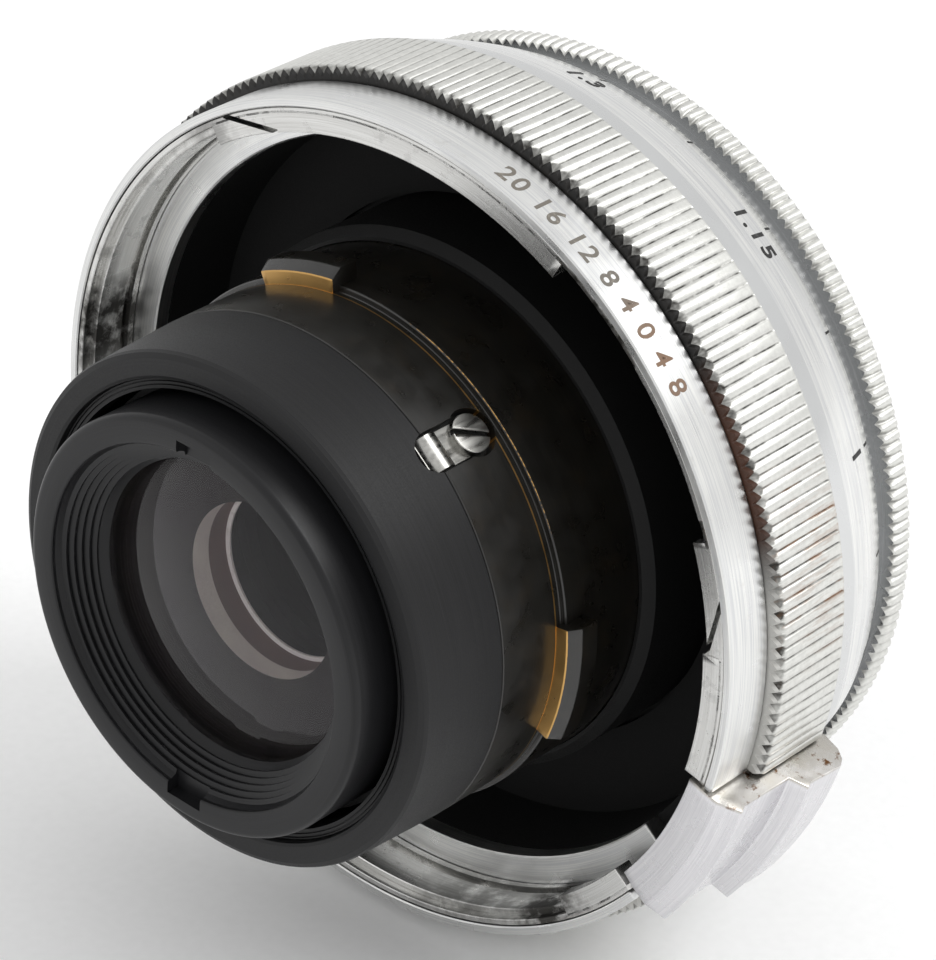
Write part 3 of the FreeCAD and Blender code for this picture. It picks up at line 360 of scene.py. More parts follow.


# the knurled grip: the same plate, darker towards the groove floors, which is painted shade mixed with patchy dirt, and
# a little rust kept in the grooves
def gripChrome(name, floor, top, most=1.0, rusted=1.0):
    material, tree, shader = startMaterial(name, {"Metallic": 1.0})
    axes = latheAxes(tree)
    place, radius, along, phi = axes
    # painted shade: the colour darkens towards the groove floors, broken up by patchy dirt
    grooveShadeByDepth = ramp(tree, radius, top * mm, floor * mm)
    grime = ramp(tree, spots(tree, place, 1.3, 3.0, 0.6), 0.38, 0.62)
    dirtAndGrooveShade = calculate(tree, "MULTIPLY", grooveShadeByDepth, ramp(tree, grime, 0.0, 1.0, 0.35 * most, most))
    drawn = addNode(tree, "Mapping", {"Vector": place, "Scale": (1.0, 0.12, 1.0)})
    rustSpots = ramp(tree, spots(tree, drawn.outputs[0], 0.4, 3.0, 0.7), 0.5, 0.62)
    rust = calculate(tree, "MULTIPLY", calculate(tree, "MULTIPLY", rustSpots, sector(tree, phi, 10, 8, 7)),
                     ramp(tree, radius, (top + 0.05) * mm, floor * mm, 0.18 * rusted, rusted))
    rust = calculate(tree, "MULTIPLY", rust, ramp(tree, along, 3.6 * mm, 6.2 * mm, 0.1, 0.9))
    colour = blendColour(tree, ramp(tree, spots(tree, place, 0.35, 2.0), 0.3, 0.7), "#D2D2CE", "#DEDEDA")
    colour = blendColour(tree, dirtAndGrooveShade, colour, "#2B2823")
    colour = blendColour(tree, rust, colour, "#8A5A2C")
    dull = ramp(tree, dirtAndGrooveShade, 0.0, 1.0, 0.42, 0.7)
    feed(tree, shader, Base_Color=colour, Roughness=dull, Metallic=ramp(tree, dirtAndGrooveShade, 0.3, 1.0, 1.0, 0.0))
    addBump(tree, shader, spots(tree, place, 0.12, 2.0), 0.006)
    return material


# the end faces of the knurl: black as painted shade, partly old oil, brown where it has rusted, and pale from phi -101
# to 11
def oilyShadedEnds(name):
    material, tree, shader = startMaterial(name, {"Roughness": 0.55})
    axes = latheAxes(tree)
    brown = calculate(tree, "MULTIPLY", sector(tree, axes[3], 25, 9, 5), 0.9)
    colour = blendColour(tree, ramp(tree, spots(tree, axes[0], 0.4), 0.3, 0.7), "#070707", "#1B1815")
    colour = blendColour(tree, brown, colour, "#4A2E20")
    paleSector = sector(tree, axes[3], -45, 56, 5)
    feed(tree, shader, Base_Color=blendColour(tree, paleSector, colour, "#B9B8B4"))
    return material


# ground nickel-plated steel: bright, with clouds of tarnish and darker patches over the stretches of phi given
def tarnishedNickel(name, patches, bright="#E0E0DE", dull="#C4C3C0"):
    material, tree, shader = startMaterial(name, {"Metallic": 1.0})
    axes = latheAxes(tree)
    place, radius, along, phi = axes
    marks = turnedMarks(tree, axes, 0.16, 6.0)
    colour = blendColour(tree, ramp(tree, marks, 0.3, 0.7), dull, bright)
    cloud = spots(tree, place, 1.6, 5.0, 0.65)
    stain = calculate(tree, "MULTIPLY", ramp(tree, cloud, 0.55, 0.72), 0.28)
    for middle, half, soft, amount in patches:
        patch = calculate(tree, "MULTIPLY", sector(tree, phi, middle, half, soft), amount)
        patch = calculate(tree, "MULTIPLY", patch, ramp(tree, cloud, 0.35, 0.55))
        stain = calculate(tree, "MAXIMUM", stain, patch)
    colour = blendColour(tree, stain, colour, "#2A2722")
    feed(tree, shader, Base_Color=colour, Roughness=ramp(tree, stain, 0.0, 1.0, 0.26, 0.6))
    addBump(tree, shader, marks, 0.004)
    return material


# ground steel of the catch: lilac-grey, with its end face at upperSide a darker beige-grey spotted with brown rust
def catchSteel(name, upperSide):
    material, tree, shader = startMaterial(name, {"Metallic": 1.0})
    axes = latheAxes(tree)
    place, radius, along, phi = axes
    marks = turnedMarks(tree, axes, 0.14, 5.0)
    colour = blendColour(tree, ramp(tree, marks, 0.3, 0.7), "#D2D1D4", "#E3E2E4")
    side = ramp(tree, phi, radians(upperSide - 0.5), radians(upperSide - 0.15))
    beige = calculate(tree, "MULTIPLY", side, ramp(tree, spots(tree, place, 1.5, 3.0), 0.3, 0.6, 0.55, 0.95))
    colour = blendColour(tree, beige, colour, "#BDB9B1")
    rust = calculate(tree, "MULTIPLY", side, ramp(tree, spots(tree, place, 0.8, 4.0, 0.7), 0.58, 0.68))
    colour = blendColour(tree, rust, colour, "#6B4A2C")
    feed(tree, shader, Base_Color=colour, Roughness=ramp(tree, spots(tree, place, 1.2), 0.3, 0.7, 0.22, 0.36))
    addBump(tree, shader, marks, 0.004)
    return material


# glossy black lacquer on brass, rubbed down to the brass along the edges given: (first y, last y,
# amount, middle phi, half its angle)
def wornLacquer(name, edges):
    material, tree, shader = startMaterial(name, {"Coat Weight": 0.35, "Coat Roughness": 0.18})
    axes = latheAxes(tree)
    place, radius, along, phi = axes
    rub = ramp(tree, spots(tree, place, 0.45, 4.0, 0.7), 0.42, 0.56)
    bare = None
    for low, high, amount, middlePhi, halfPhi in edges:
        middle, half = (low + high) / 2 * mm, (high - low) / 2 * mm
        near = ramp(tree, calculate(tree, "ABSOLUTE", calculate(tree, "SUBTRACT", along, middle)),
                    half, half * 0.5)
        near = calculate(tree, "MULTIPLY", near, sector(tree, phi, middlePhi, halfPhi, 8))
        near = calculate(tree, "MULTIPLY", near, ramp(tree, rub, 0.0, 1.0, amount * 0.5, amount))
        bare = near if bare is None else calculate(tree, "MAXIMUM", bare, near)
    bare = ramp(tree, bare, 0.3, 0.6)
    marks = turnedMarks(tree, axes, 0.12)
    colour = blendColour(tree, ramp(tree, marks, 0.3, 0.75), "#0D0C0A", "#1A1814")
    brown = calculate(tree, "MULTIPLY", ramp(tree, spots(tree, place, 2.2, 5.0, 0.7), 0.52, 0.7), 0.5)
    colour = blendColour(tree, brown, colour, "#241D13")
    colour = blendColour(tree, bare, colour, "#C49A5A")
    feed(tree, shader, Base_Color=colour, Metallic=bare,
         Roughness=ramp(tree, spots(tree, place, 1.8, 3.0), 0.3, 0.7, 0.24, 0.42))
    addBump(tree, shader, marks, 0.004)
    return material


# black anodised aluminium: a dull charcoal with very fine turning marks
def blackAnodised(name, shade="#151516", light="#1F1F20", low=0.42, high=0.56):
    material, tree, shader = startMaterial(name, {"Specular IOR Level": 0.28})
    axes = latheAxes(tree)
    marks = turnedMarks(tree, axes, 0.08)
    grain = spots(tree, axes[0], 0.08, 2.0)
    colour = blendColour(tree, ramp(tree, marks, 0.3, 0.75), shade, light)
    feed(tree, shader, Base_Color=colour, Roughness=ramp(tree, grain, 0.3, 0.7, low, high))
    addBump(tree, shader, grain, 0.004)
    return material


# flat optical paint: nearly no sheen, a faint grain from the brush
def flatBlack(name, shade="#0B0B0B", light="#171717", roughness=0.8, bump=0.01):
    material, tree, shader = startMaterial(name, {"Specular IOR Level": 0.25})
    axes = latheAxes(tree)
    grain = spots(tree, axes[0], 0.12, 3.0)
    colour = blendColour(tree, ramp(tree, grain, 0.35, 0.7), shade, light)
    feed(tree, shader, Base_Color=colour, Roughness=ramp(tree, grain, 0.3, 0.7, roughness - 0.1, roughness + 0.1))
    addBump(tree, shader, grain, bump)
    return material


# plain machined metal of screws, pins, keys and springs: clean, with short scratches
def machinedMetal(name, bright, dull, low=0.22, high=0.42):
    material, tree, shader = startMaterial(name, {"Metallic": 1.0})
    axes = latheAxes(tree)
    stretched = addNode(tree, "Mapping", {"Vector": axes[0], "Scale": (1.0, 0.12, 1.0)})
    scratch = spots(tree, stretched.outputs[0], 0.3, 2.0, 0.5)
    colour = blendColour(tree, ramp(tree, scratch, 0.3, 0.7), dull, bright)
    feed(tree, shader, Base_Color=colour, Roughness=ramp(tree, scratch, 0.3, 0.7, low, high))
    addBump(tree, shader, scratch, 0.001)
    return material


# polished optical glass with one coating layer: clear, with a weak sheen that the lower index
# stands for, and a tint that drifts a little
def coatedGlass(name, tint, index=1.24):
    material, tree, shader = startMaterial(name, {"Transmission Weight": 1.0, "IOR": index, "Roughness": 0.0})
    film = spots(tree, latheAxes(tree)[0], 2.5, 3.0)
    feed(tree, shader, Base_Color=blendColour(tree, ramp(tree, film, 0.3, 0.7), tint, "#FFFFFF"))
    return material


# enamel rubbed into engraved strokes: matt, a little worn
def filledStroke(name, shade, worn, rusted=None):
    material, tree, shader = startMaterial(name, {"Specular IOR Level": 0.4})
    axes = latheAxes(tree)
    wear = ramp(tree, spots(tree, axes[0], 0.3, 3.0), 0.55, 0.75)
    colour = blendColour(tree, wear, shade, worn)
    if rusted:
        colour = blendColour(tree, sector(tree, axes[3], *rusted), colour, "#7E6450")
    feed(tree, shader, Base_Color=colour, Roughness=ramp(tree, wear, 0.0, 1.0, 0.55, 0.4))
    return material


chromeShell = satinChrome("satin chrome, turned")
# the scale ring is a little darker beside the knurl; the focus ring's groove from y 14.0 to 18.1 is painted darker as
# painted shade
chromeScale = satinChrome("satin chrome, darker beside the knurl", low=0.22, high=0.34, zone=(9.9, 11.6, "#CFD0D0"))
chromeFocus = satinChrome("satin chrome, fine, painted shade in the groove", bright="#E2E3E4", dull="#C9CBCD", low=0.2, high=0.32,
                          zone=(14.0, 18.1, "#A9AAAA"))
chromeFront = satinChrome("satin chrome, front")
# both knurls get painted shade towards their groove floors
knurledGrip = gripChrome("satin chrome, knurled, grimy, with painted groove shade", 28.72, 28.82)
knurledTeeth = gripChrome("satin chrome, toothed", 26.12, 26.34, 0.6, 0.0)
knurlEndShade = oilyShadedEnds("oily end faces, painted shade")
# the last patch darkens the wall inside the bayonet gap from phi 42 to 57.5
nickelRing = tarnishedNickel("nickel plate, tarnished", [(169, 6, 3, 0.9), (-59, 7, 3, 0.9), (-75, 8, 5, 0.45),
                                                         (122, 3, 3, 0.5), (49.7, 6.5, 1.2, 0.95)])
steelCatch = catchSteel("ground steel, browned", -17.5)
lacquerSleeve = wornLacquer("black lacquer on brass", [(-2.35, -2.28, 0.62, 48, 26),
                                                                 (-3.06, -2.93, 1.5, 0, 179)])
lacquerTube = flatBlack("dull black lacquer", "#0B0B0B", "#161616", 0.6)
anodised = blackAnodised("black anodised aluminium")
anodisedHood = blackAnodised("black anodised aluminium, satin", "#121213", "#1D1D1F", 0.30, 0.42)
flatPaint = flatBlack("flat black optical paint")
baffleBrown = flatBlack("flat black paint, browned", "#1C1917", "#201D1B", 0.75, 0.001)
steelParts = machinedMetal("machined steel", "#BDBCB8", "#A3A29E")
brassParts = machinedMetal("machined brass", "#C79B5B", "#9A7440")
bladeSteel = machinedMetal("blackened spring steel", "#26262A", "#141416", 0.35, 0.5)
clearGlass = coatedGlass("coated optical glass", "#F3EEF6")
blackFill = filledStroke("black enamel fill", "#0B0B0B", "#2C2C2C")
bareFill = filledStroke("bare engraved stroke", "#6F6A62", "#928C82", (41, 5, 5))
creamBand = flatBlack("cream band behind the window", "#D6CEC2", "#DED7CC", 0.5, 0.001)
pinkBand = flatBlack("brown-pink band behind the window", "#6E5A54", "#75615B", 0.5, 0.001)
paleRing = filledStroke("ground glass edge", "#E6E2DA", "#CFC9BF")
print("materials:", len(bpy.data.materials))


# ---- mount shell, grip ring, scale ring

catchNotch = {"first": -40.8, "last": -16.9}
shell = {"rim": 28.0, "lip": 27.4, "band": 3.4, "gap": 27.55, "seat": 24.4}
mountShell = lathe("mount_shell_band", [
    (shell["rim"] - 0.1, 0.0), (shell["rim"], 0.1), (shell["rim"], shell["band"]),
    (shell["rim"] - 0.06, shell["band"] + 0.06), (shell["gap"], shell["band"] + 0.06), (shell["gap"], shell["band"] + 0.2),
    (27.88, shell["band"] + 0.2), (27.88, 9.88), (26.88, 9.88), (26.88, 12.38), (25.92, 12.38), (25.92, 5.4),
    (shell["seat"] + 0.08, 5.4), (shell["seat"], 5.32), (shell["seat"], 4.25), (shell["seat"] + 0.1, 4.15),
    (shell["lip"], 4.15), (shell["lip"], 0.08), (shell["lip"] + 0.08, 0.0)], 288)
openNotch(mountShell, catchNotch["first"], catchNotch["last"])
finish(mountShell, "mount", [chromeShell], ["mount_shell"])

grip = {"ridges": 228, "perRidge": 8, "top": 28.85, "rear": 3.56, "front": 9.88}
gripSides = grip["ridges"] * grip["perRidge"]
gripRing = lathe("grip_ring_knurled", [
    (27.9, grip["rear"]), (28.66, grip["rear"]), (grip["top"] - 0.02, grip["rear"] + 0.24),
    (grip["top"], grip["rear"] + 0.6), (grip["top"], grip["front"] - 0.25), (28.8, grip["front"] - 0.04),
    (28.72, grip["front"]), (27.9, grip["front"])], gripSides)
rearEnd, land = (grip["rear"] - 0.1, grip["rear"] + 0.34), (grip["rear"] + 0.34, 9.7)
for step, depth in enumerate((0.58, 0.42, 0.26, 0.11)):
    sinkGrooves(gripRing, gripSides, grip["perRidge"], [step, -step % grip["perRidge"]], 28.3, rearEnd,
                1 - depth / grip["top"])
for step, depth in enumerate((0.15, 0.025)):
    sinkGrooves(gripRing, gripSides, grip["perRidge"], [step, -step % grip["perRidge"]], 28.3, land,
                1 - depth / grip["top"])
openNotch(gripRing, catchNotch["first"], catchNotch["last"])
finish(gripRing, "mount", [knurledGrip, knurlEndShade], ["grip_ring"])
# the end faces take the black of painted shade, partly old oil
for face in gripRing.data.polygons:
    face.material_index = 1 if face.center.y < (grip["rear"] + 0.21) * mm else 0

# the scale ring's outside is an arc along the axis
scaleArc = {"radius": 23.0, "centreRadius": 5.862, "centreAlong": 6.13, "rear": 9.92, "front": 16.5}


def scaleSpot(along):
    away = along - scaleArc["centreAlong"]
    out = sqrt(scaleArc["radius"] ** 2 - away ** 2)
    return scaleArc["centreRadius"] + out, atan2(-away, out)


scaleCorners = [(26.92, 9.92), (scaleSpot(9.92)[0] - 0.1, 9.92)]
for step in range(13):
    along = 10.02 + (scaleArc["front"] - 10.02) * step / 12
    scaleCorners.append((scaleSpot(along)[0], along))
scaleCorners += [(26.3, 16.56), (25.62, 16.58), (25.57, 16.5), (25.57, 12.44), (26.92, 12.44)]
scaleRing = lathe("scale_ring_turned", scaleCorners, 288)
openNotch(scaleRing, catchNotch["first"], catchNotch["last"])
finish(scaleRing, "mount", [chromeScale], ["scale_ring"])

distances = {"along": 14.2, "height": 1.45, "stroke": 0.035, "step": 31.2, "first": 81.0, "spread": 2.5,
             "words": ["1.3", "1.15", "1", "", "", "0.7", "0.6", "0.5", "3", "2", "1.5"]}
radius, lean = scaleSpot(distances["along"])
texts = []
for number, word in enumerate(distances["words"]):
    middle = distances["first"] - distances["step"] * number
    width = sum(0.45 if letter == "." else 1.0 for letter in word) * distances["spread"]
    reach = middle + width / 2
    for letter in word:
        own = (0.45 if letter == "." else 1.0) * distances["spread"]
        texts.append((letter, spot(reach - own / 2, radius, distances["along"], lean)))
        reach -= own
numbers = figures(texts, distances["height"], 0.02, distances["stroke"])
ticks = [boxAt(spot(81.0 - 31.2 * number / 2, *([scaleSpot(16.1)[0], 16.1]), scaleSpot(16.1)[1]), (0.16, 0.7, 0.03))
         for number in range(22) if abs((81.0 - 15.6 * number + 28.8 + 180) % 360 - 180) > 14]
scaleFigures = joinAll("scale_figures", numbers + ticks)
finish(scaleFigures, "mount", [blackFill], [])

# a depth scale cut round the smooth band, in place of any lettering
bandScale = {"along": 1.42, "height": 1.35, "first": 71.0, "pitch": 2.35,
             "words": ["20", "16", "12", "8", "4", "0", "4", "8"]}
texts = []
reach = bandScale["first"]
for word in bandScale["words"]:
    for letter in word:
        texts.append((letter, spot(reach, shell["rim"], bandScale["along"])))
        reach -= bandScale["pitch"]
    reach -= bandScale["pitch"] * 0.62
bandFigures = joinAll("band_figures", figures(texts, bandScale["height"], 0.012, 0.03))
finish(bandFigures, "mount", [bareFill], [])
print("shell, grip and scale")


# ---- bayonet ring and catch

bayonet = {"outer": 27.35, "bore": 26.5, "ledge": 26.95, "lug": 25.75,
           "lugs": [(57.5, 121.0), (-16.8, 2.5), (-54.7, -41.0)], "stop": (2.5, 18.3),
           "gaps": [(42.0, 57.5), (18.45, 21.3)]}
ring = lathe("bayonet_body", [
    (27.0, 0.12), (27.3, 0.12), (27.34, 0.16), (27.34, 4.08), (26.3, 4.08), (26.3, 3.62), (26.75, 3.62),
    (26.75, 3.2), (26.55, 3.2), (26.5, 3.15), (26.5, 0.85), (26.56, 0.8), (26.95, 0.8), (26.95, 0.17)], 288)
openNotch(ring, catchNotch["first"], catchNotch["last"])


# two narrow saw cuts that lean away from the radius
def sawCuts():
    made = []
    for radius, phi, lean in ((26.5, 113.5, 70.0), (26.78, 7.1, 68.4)):
        middle = Vector((cos(radians(phi)), 0, sin(radians(phi)))) * radius * mm
        made.append(boxAt(Matrix.Translation(middle) @ Matrix.Rotation(-radians(phi + lean), 4, "Y"),
                          (4.7, 5.0, 0.34)))
    return made


gaps = [keepArc(lathe("gap", [(24.7, -1.0), (27.05, -1.0), (27.05, 3.1), (24.7, 3.1)], 288), first, last)
        for first, last in bayonet["gaps"]]
parts = [carve(ring, *sawCuts(), *gaps)]
for first, last in bayonet["lugs"]:
    lug = lathe("lug", [(25.75, 0.12), (27.2, 0.12), (27.2, 1.5), (25.75, 1.5)], 288)
    parts.append(carve(bevelEdges(keepArc(lug, first, last), 0.06), *sawCuts()))
stop = lathe("stop", [(26.05, 0.14), (27.18, 0.14), (27.18, 1.48), (26.05, 1.48)], 288)
parts.append(carve(bevelEdges(keepArc(stop, *bayonet["stop"]), 0.06), *sawCuts()))
bayonetRing = joinAll("bayonet_ring_ground", parts)
finish(bayonetRing, "mount", [nickelRing], ["bayonet_ring"])

catch = {"first": -40.2, "last": -17.5, "outline": [
    (26.25, 0.15), (27.3, 0.02), (28.6, 0.02), (30.05, 0.75), (29.75, 1.35), (29.78, 3.4), (29.85, 5.5),
    (31.1, 5.95), (30.85, 6.45), (31.0, 8.0), (31.05, 9.2), (30.7, 9.75), (30.0, 10.2), (28.9, 10.4),
    (27.9, 10.4), (27.0, 10.4), (26.25, 9.8)]}
releaseCatch = lathe("release_catch_ground", catch["outline"], 288)
keepArc(releaseCatch, catch["first"], catch["last"])
bevelEdges(releaseCatch, 0.07)
finish(releaseCatch, "catch", [steelCatch], ["release_catch"])
print("bayonet and catch")


# ---- focus ring

focus = {"teeth": 220, "perTooth": 8, "top": 26.42}
focusSides = focus["teeth"] * focus["perTooth"]
focusRing = lathe("focus_ring_toothed", [
    (23.9, 14.6), (25.45, 14.6), (25.5, 14.65), (25.5, 18.14), (26.3, 18.14), (26.42, 18.3), (26.42, 18.75), (26.42, 19.62),
    (25.74, 20.28), (25.6, 20.3), (23.2, 20.3), (23.2, 18.1), (20.5, 18.1), (20.5, 16.6), (23.9, 16.6)],
    focusSides)
rearEnd, land = (18.0, 18.5), (18.5, 19.7)
for step, depth in enumerate((0.44, 0.32, 0.18, 0.07)):
    sinkGrooves(focusRing, focusSides, focus["perTooth"], [step, -step % focus["perTooth"]], 25.9, rearEnd,
                1 - depth / focus["top"])
for step, depth in enumerate((0.24, 0.12, 0.03)):
    sinkGrooves(focusRing, focusSides, focus["perTooth"], [step, -step % focus["perTooth"]], 25.9, land,
                1 - depth / focus["top"])
finish(focusRing, "optics", [chromeFocus, knurledTeeth], ["focus_ring"])
for face in focusRing.data.polygons:
    away = Vector((face.center.x, face.center.z)).length / mm
    face.material_index = 1 if away > 25.6 and face.center.y > 18.2 * mm else 0
print("focus ring")


# ---- coupling sleeve, its end ring, hood and glass

sleeve = {"rear": 17.1, "front": 17.38, "line": -2.4, "lugs": [(93.0, 112.5), (-24.0, 3.0), (-146.0, -124.0)],
          "springPhi": 47.3, "slotWidth": 2.7, "slotFloor": 16.1, "slotRear": -8.9, "screw": -4.29, "pocket": 1.6}


def springSlot():
    place = spot(sleeve["springPhi"], 0.0, 0.0)
    depth = 3.0
    middle = sleeve["slotFloor"] + depth / 2
    rear = sleeve["slotRear"] + sleeve["slotWidth"] / 2
    body = boxAt(place, (sleeve["slotWidth"], sleeve["screw"] - rear, depth),
                 (0, (sleeve["screw"] + rear) / 2, middle))
    made = [body]
    for along, size in ((rear, sleeve["slotWidth"] / 2), (sleeve["screw"], sleeve["pocket"])):
        deselectAll()
        bpy.ops.mesh.primitive_cylinder_add(vertices=64, radius=size * mm, depth=depth * mm,
                                            location=(0, along * mm, middle * mm))
        made.append(settle(bpy.context.object, place))
    return made


sleeveBody = lathe("sleeve_body", [
    (15.7, -7.7), (17.04, -7.7), (17.1, -7.64), (17.1, -2.66), (17.05, -2.62), (17.05, -2.56), (17.1, -2.52),
    (17.1, -2.4), (17.3, -2.38), (17.38, -2.3), (17.38, 10.98), (15.7, 10.98)], 256)
carve(sleeveBody, *springSlot())
parts = [sleeveBody]
for first, last in sleeve["lugs"]:
    lug = lathe("sleeve_lug", [(17.0, -3.0), (17.95, -3.0), (18.5, -2.2), (18.5, -0.8), (17.0, -0.8)], 256)
    parts.append(bevelEdges(keepArc(lug, first, last), 0.05))
couplingSleeve = joinAll("coupling_sleeve_lacquered", parts)
finish(couplingSleeve, "sleeve", [lacquerSleeve], ["coupling_sleeve"])

endRing = lathe("sleeve_end_ring_turned", [
    (15.02, -14.1), (15.1, -14.28), (15.3, -14.36), (16.4, -14.36), (16.72, -14.2), (16.83, -13.95),
    (17.1, -7.84), (17.04, -7.74), (15.68, -7.74), (15.68, -4.62), (15.02, -4.62)], 256)
carve(endRing, *springSlot())
finish(endRing, "sleeve", [anodised], ["sleeve_end_ring"])

# a slotted screw holds the spring; its slot is flat black, painted shade
screw = {"radius": 1.3, "base": 16.3, "top": 17.0, "slot": 0.34, "slotDepth": 0.34, "turned": 62.0}
screwPlace = spot(sleeve["springPhi"], 0.0, sleeve["screw"])
deselectAll()
bpy.ops.mesh.primitive_cylinder_add(vertices=96, radius=screw["radius"] * mm, depth=(screw["top"] - screw["base"]) * mm,
                                    location=(0, 0, (screw["top"] + screw["base"]) / 2 * mm))
springScrew = nameIt(bpy.context.object, "spring_screw_slotted")
bevelEdges(springScrew, 0.08, 3)
settle(springScrew, screwPlace)
carve(springScrew, boxAt(screwPlace @ Matrix.Rotation(radians(screw["turned"]), 4, "Z"),
                         (screw["radius"] * 3, screw["slot"], screw["slotDepth"] * 2), (0, 0, screw["top"])))
finish(springScrew, "sleeve", [steelParts, flatPaint], ["spring_screw"])
floorDepth = (screw["top"] - screw["slotDepth"] / 2) * mm
# faces inside the slot take the flat black: painted shade
for face in springScrew.data.polygons:
    height = (screwPlace.inverted() @ face.center).z
    inside = (screwPlace.inverted() @ face.center).xy.length < (screw["radius"] - 0.1) * mm
    face.material_index = 1 if inside and (screw["base"] + 0.1) * mm < height < (screw["top"] - 0.1) * mm else 0

hood = {"mouth": 11.9, "outer": 13.76, "rear": -16.82, "lip": 9.9, "lipRear": -14.3, "turns": 5}
firstTurn = hood["rear"] + 0.7
turnLength = (hood["lipRear"] - firstTurn) / hood["turns"]
turnHeight = (hood["mouth"] - 0.2 - hood["lip"]) / (hood["turns"] + 1)
hoodCorners = [(10.45, -9.7), (10.45, hood["lipRear"] + 0.5), (hood["lip"], hood["lipRear"] + 0.5)]
for number in reversed(range(hood["turns"])):
    crest = hood["mouth"] - 0.2 - (number + 1) * turnHeight
    start = firstTurn + number * turnLength
    hoodCorners += [(crest + 0.16, start + 0.8 * turnLength), (crest, start + 0.65 * turnLength),
                    (crest, start + 0.1)]
hoodCorners += [(11.7, firstTurn), (11.88, -16.5), (11.9, -16.72), (11.96, -16.79), (12.1, -16.82), (13.3, -16.82)]
for step in range(1, 6):
    angle = radians(90 * step / 5)
    hoodCorners.append((13.31 + 0.45 * sin(angle), -16.37 - 0.45 * cos(angle)))
hoodCorners += [(13.76, -11.24), (12.56, -11.24), (12.56, -9.7)]
rearHood = lathe("rear_hood_threaded", hoodCorners, 256)
slots = [boxAt(spot(phi, 0.0, 0.0), (2.8, 1.3, 2.35), (0, hood["rear"] + 0.25, 11.475)) for phi in (85.5, 265.5)]
carve(rearHood, *slots)
finish(rearHood, "optics", [anodisedHood], ["rear_hood"])


# a glass with two ground faces; a positive bend has its centre behind the face
def lensGlass(name, edge, frontMiddle, frontBend, rearMiddle, rearBend, sides=128):
    steps = 14
    tiny = 0.0006

    def face(middle, bend, order):
        size = abs(bend)
        made = []
        for step in order:
            away = max(edge * step / steps, tiny)
            sag = size - sqrt(size ** 2 - away ** 2)
            made.append((away, middle - (sag if bend > 0 else -sag)))
        return made

    corners = face(rearMiddle, rearBend, range(steps + 1)) + face(frontMiddle, frontBend, range(steps, -1, -1))
    return lathe(name, corners, sides, closed=False, smooth=30)


# the conical baffle, and behind its window a short tube in cream and brown-pink bands with a pale ring at its end
baffle = {"window": 5.65, "windowRear": -10.2, "rim": 9.5, "rimRear": -11.8, "outer": 10.43, "thick": 0.6}
cone = lathe("baffle_cone", [
    (baffle["window"], baffle["windowRear"]), (baffle["rim"], baffle["rimRear"]), (baffle["outer"], baffle["rimRear"]),
    (baffle["outer"], baffle["rimRear"] + baffle["thick"]), (baffle["rim"], baffle["rimRear"] + baffle["thick"]),
    (6.3, baffle["windowRear"] + 0.45), (6.2, -7.6), (5.67, -7.6), (5.66, -9.0)], 200)
edge = lathe("pale_ring_piece", [(5.42, -7.62), (5.7, -7.7), (5.7, -7.5), (5.42, -7.5)], 200)
rearBaffle = joinAll("rear_baffle_turned", [cone, edge])
finish(rearBaffle, "optics", [baffleBrown, creamBand, pinkBand, paleRing], ["rear_baffle"])
for face in rearBaffle.data.polygons:
    away = Vector((face.center.x, face.center.z)).length / mm
    if away < 5.6 and face.center.y > -8 * mm:
        face.material_index = 3
    elif away < 5.69 and face.center.y > -10.1 * mm:
        face.material_index = 1 if face.center.y < -9 * mm else 2
print("baffle")

rearGlass = lensGlass("rear_glass_polished", 10.38, -13.2, -40.0, -15.4, -31.0)
finish(rearGlass, "optics", [clearGlass], ["rear_glass"])
frontGlass = lensGlass("front_glass_polished", 12.48, 23.38, 80.0, 21.8, 200.0)
finish(frontGlass, "optics", [clearGlass], ["front_glass"])
print("sleeve, hood and glass")


# ---- aperture ring and front barrel

aperture = {"ribs": 96, "perRib": 4, "top": 22.3, "floor": 21.95}
ribSides = aperture["ribs"] * aperture["perRib"]
apertureRing = lathe("aperture_ring_ribbed", [
    (20.5, 19.62), (21.9, 19.62), (22.3, 19.95), (22.3, 21.1), (22.0, 21.2), (22.0, 21.35), (22.3, 21.45),
    (22.3, 22.2), (21.5, 23.15), (21.4, 23.2), (20.5, 23.2)], ribSides)
selectPart(apertureRing, "VERT", lambda place: Vector((place.x, place.z)).length > 22.2 * mm
           and 19.9 * mm < place.y < 21.15 * mm and round(phiOf(place) / 360 * ribSides) % 4 == 0)
share = aperture["floor"] / aperture["top"]
bpy.ops.transform.resize(value=(share, 1, share), center_override=(0, 0, 0))
bpy.ops.object.mode_set(mode="OBJECT")
finish(apertureRing, "aperture", [chromeFront], ["aperture_ring"])
stops = {"first": 108.0, "step": 9.0, "words": ["4", "5.6", "8", "11", "16", "22"]}
texts = [(word, spot(stops["first"] - stops["step"] * number, 21.9, 22.7, -0.7))
         for number, word in enumerate(stops["words"])]
stopFigures = joinAll("stop_figures", figures(texts, 0.8, 0.02, 0.02))
finish(stopFigures, "aperture", [blackFill], [])

frontCorners = [(18.92, 18.12), (22.98, 18.12), (22.98, 19.28), (20.4, 19.28), (20.4, 24.62), (20.34, 24.74),
                (20.2, 24.8), (19.55, 24.8), (19.3, 24.6)]
for turn in range(4):
    start = 24.5 - turn * 0.26
    frontCorners += [(19.27, start), (19.45, start - 0.13)]
frontCorners += [(19.27, 23.45), (18.92, 23.45)]
frontBarrel = lathe("front_barrel_threaded", frontCorners, 240)
finish(frontBarrel, "optics", [chromeFront], ["front_barrel"])
print("aperture ring and front barrel")


# ---- finishes of the CAD pieces that show as they are

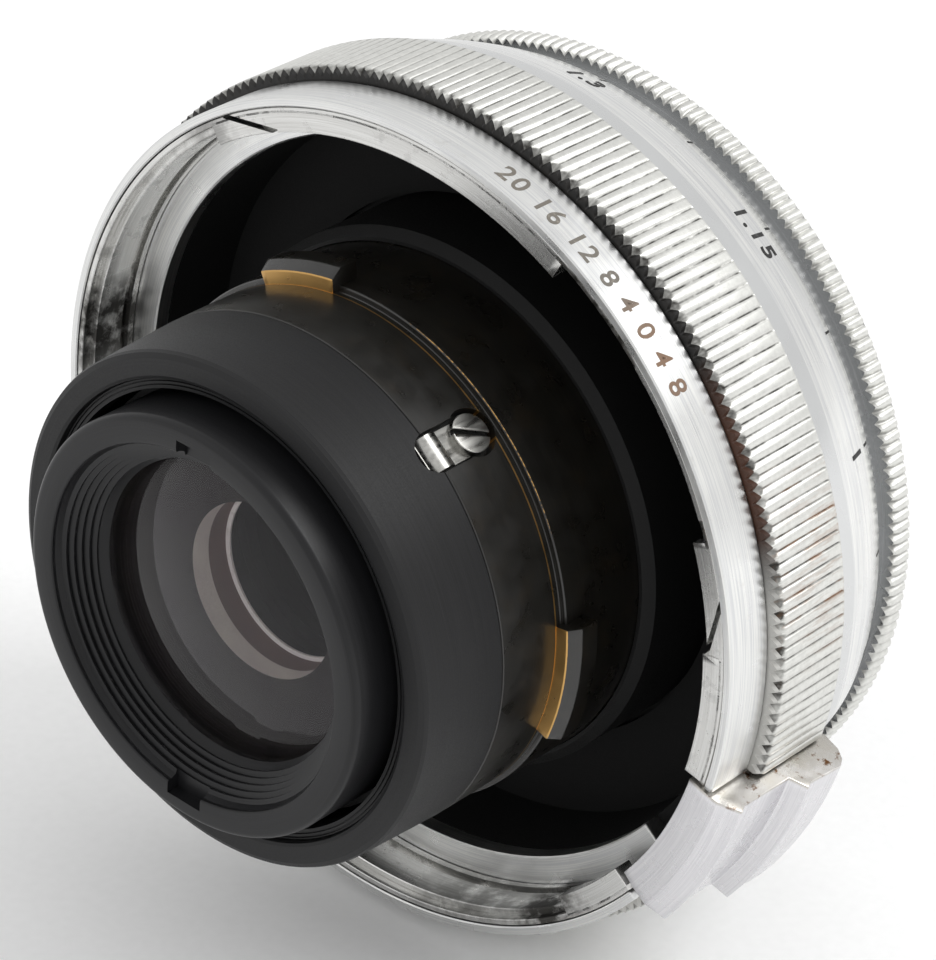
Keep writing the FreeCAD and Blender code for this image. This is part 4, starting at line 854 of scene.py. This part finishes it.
cadFinishes = {
    "light_shield": flatPaint, "driver_retainer": flatPaint,
    "drive_tube": lacquerTube, "drive_keys": brassParts, "rear_trim_ring": anodised,
    "optical_barrel": anodised, "rear_group_cell": anodised, "front_group_cell": anodised,
    "front_cell": anodised, "front_trim_ring": anodisedHood, "iris_base_plate": anodised,
    "iris_cam_ring": anodised, "aperture_tube": anodised, "triplet_retainer": anodised,
}
for name, node in nodes.items():
    if node.hide_render:
        continue
    chosen = cadFinishes.get(name)
    if chosen is None:
        if "glass" in name or "doublet" in name:
            chosen = clearGlass
        elif "blade" in name:
            chosen = bladeSteel
        else:
            chosen = steelParts
    node.data.materials.clear()
    node.data.materials.append(chosen)
print("finishes on CAD pieces")


# ---- floor, light and camera

low, high = cadBox
studio = {"floorSize": 3.0, "sky": "#FFFFFF", "skyStrength": 0.90}
deselectAll()
bpy.ops.mesh.primitive_plane_add(size=studio["floorSize"], location=(0, 0, low.z))
floor = nameIt(bpy.context.object, "floor")
bpy.ops.object.transform_apply(location=True, rotation=True, scale=True)
material, tree, shader = startMaterial("white paper sweep", {"Roughness": 0.9})
grain = spots(tree, latheAxes(tree)[0], 0.8, 2.0)
feed(tree, shader, Base_Color=blendColour(tree, grain, "#F6F6F6", "#FCFCFC"))
floor.data.materials.append(material)

world = bpy.data.worlds.new("studio")
bpy.context.scene.world = world
world.use_nodes = True
sky = world.node_tree.nodes["Background"]
sky.inputs["Color"].default_value = linearColour(studio["sky"])
sky.inputs["Strength"].default_value = studio["skyStrength"]


def areaLight(name, place, aim, size, power):
    bpy.ops.object.light_add(type="AREA", location=place)
    lamp = bpy.context.object
    lamp.name = name
    lamp.data.size = size
    lamp.data.energy = power
    lamp.rotation_mode = "QUATERNION"
    lamp.rotation_quaternion = (Vector(aim) - Vector(place)).to_track_quat("-Z", "Y")


areaLight("key_light", (0.32, 0.18, 0.42), (0, 0, 0), 0.30, 1.3)
areaLight("fill_light", (-0.25, -0.45, 0.35), (0, 0, 0), 0.35, 0.1)

cameraPlace = Vector((0.15431, -0.16441, 0.12632))
cameraLook = Vector((-0.58496, 0.65466, -0.47878))
bpy.ops.object.camera_add(location=cameraPlace)
camera = bpy.context.object
camera.rotation_mode = "QUATERNION"
camera.rotation_quaternion = cameraLook.to_track_quat("-Z", "Y")
camera.data.lens = 155.2
camera.data.sensor_width = 36.0
camera.data.clip_start = 0.005
camera.data.clip_end = 10.0
bpy.context.scene.camera = camera
bpy.context.scene.view_settings.view_transform = "Standard"
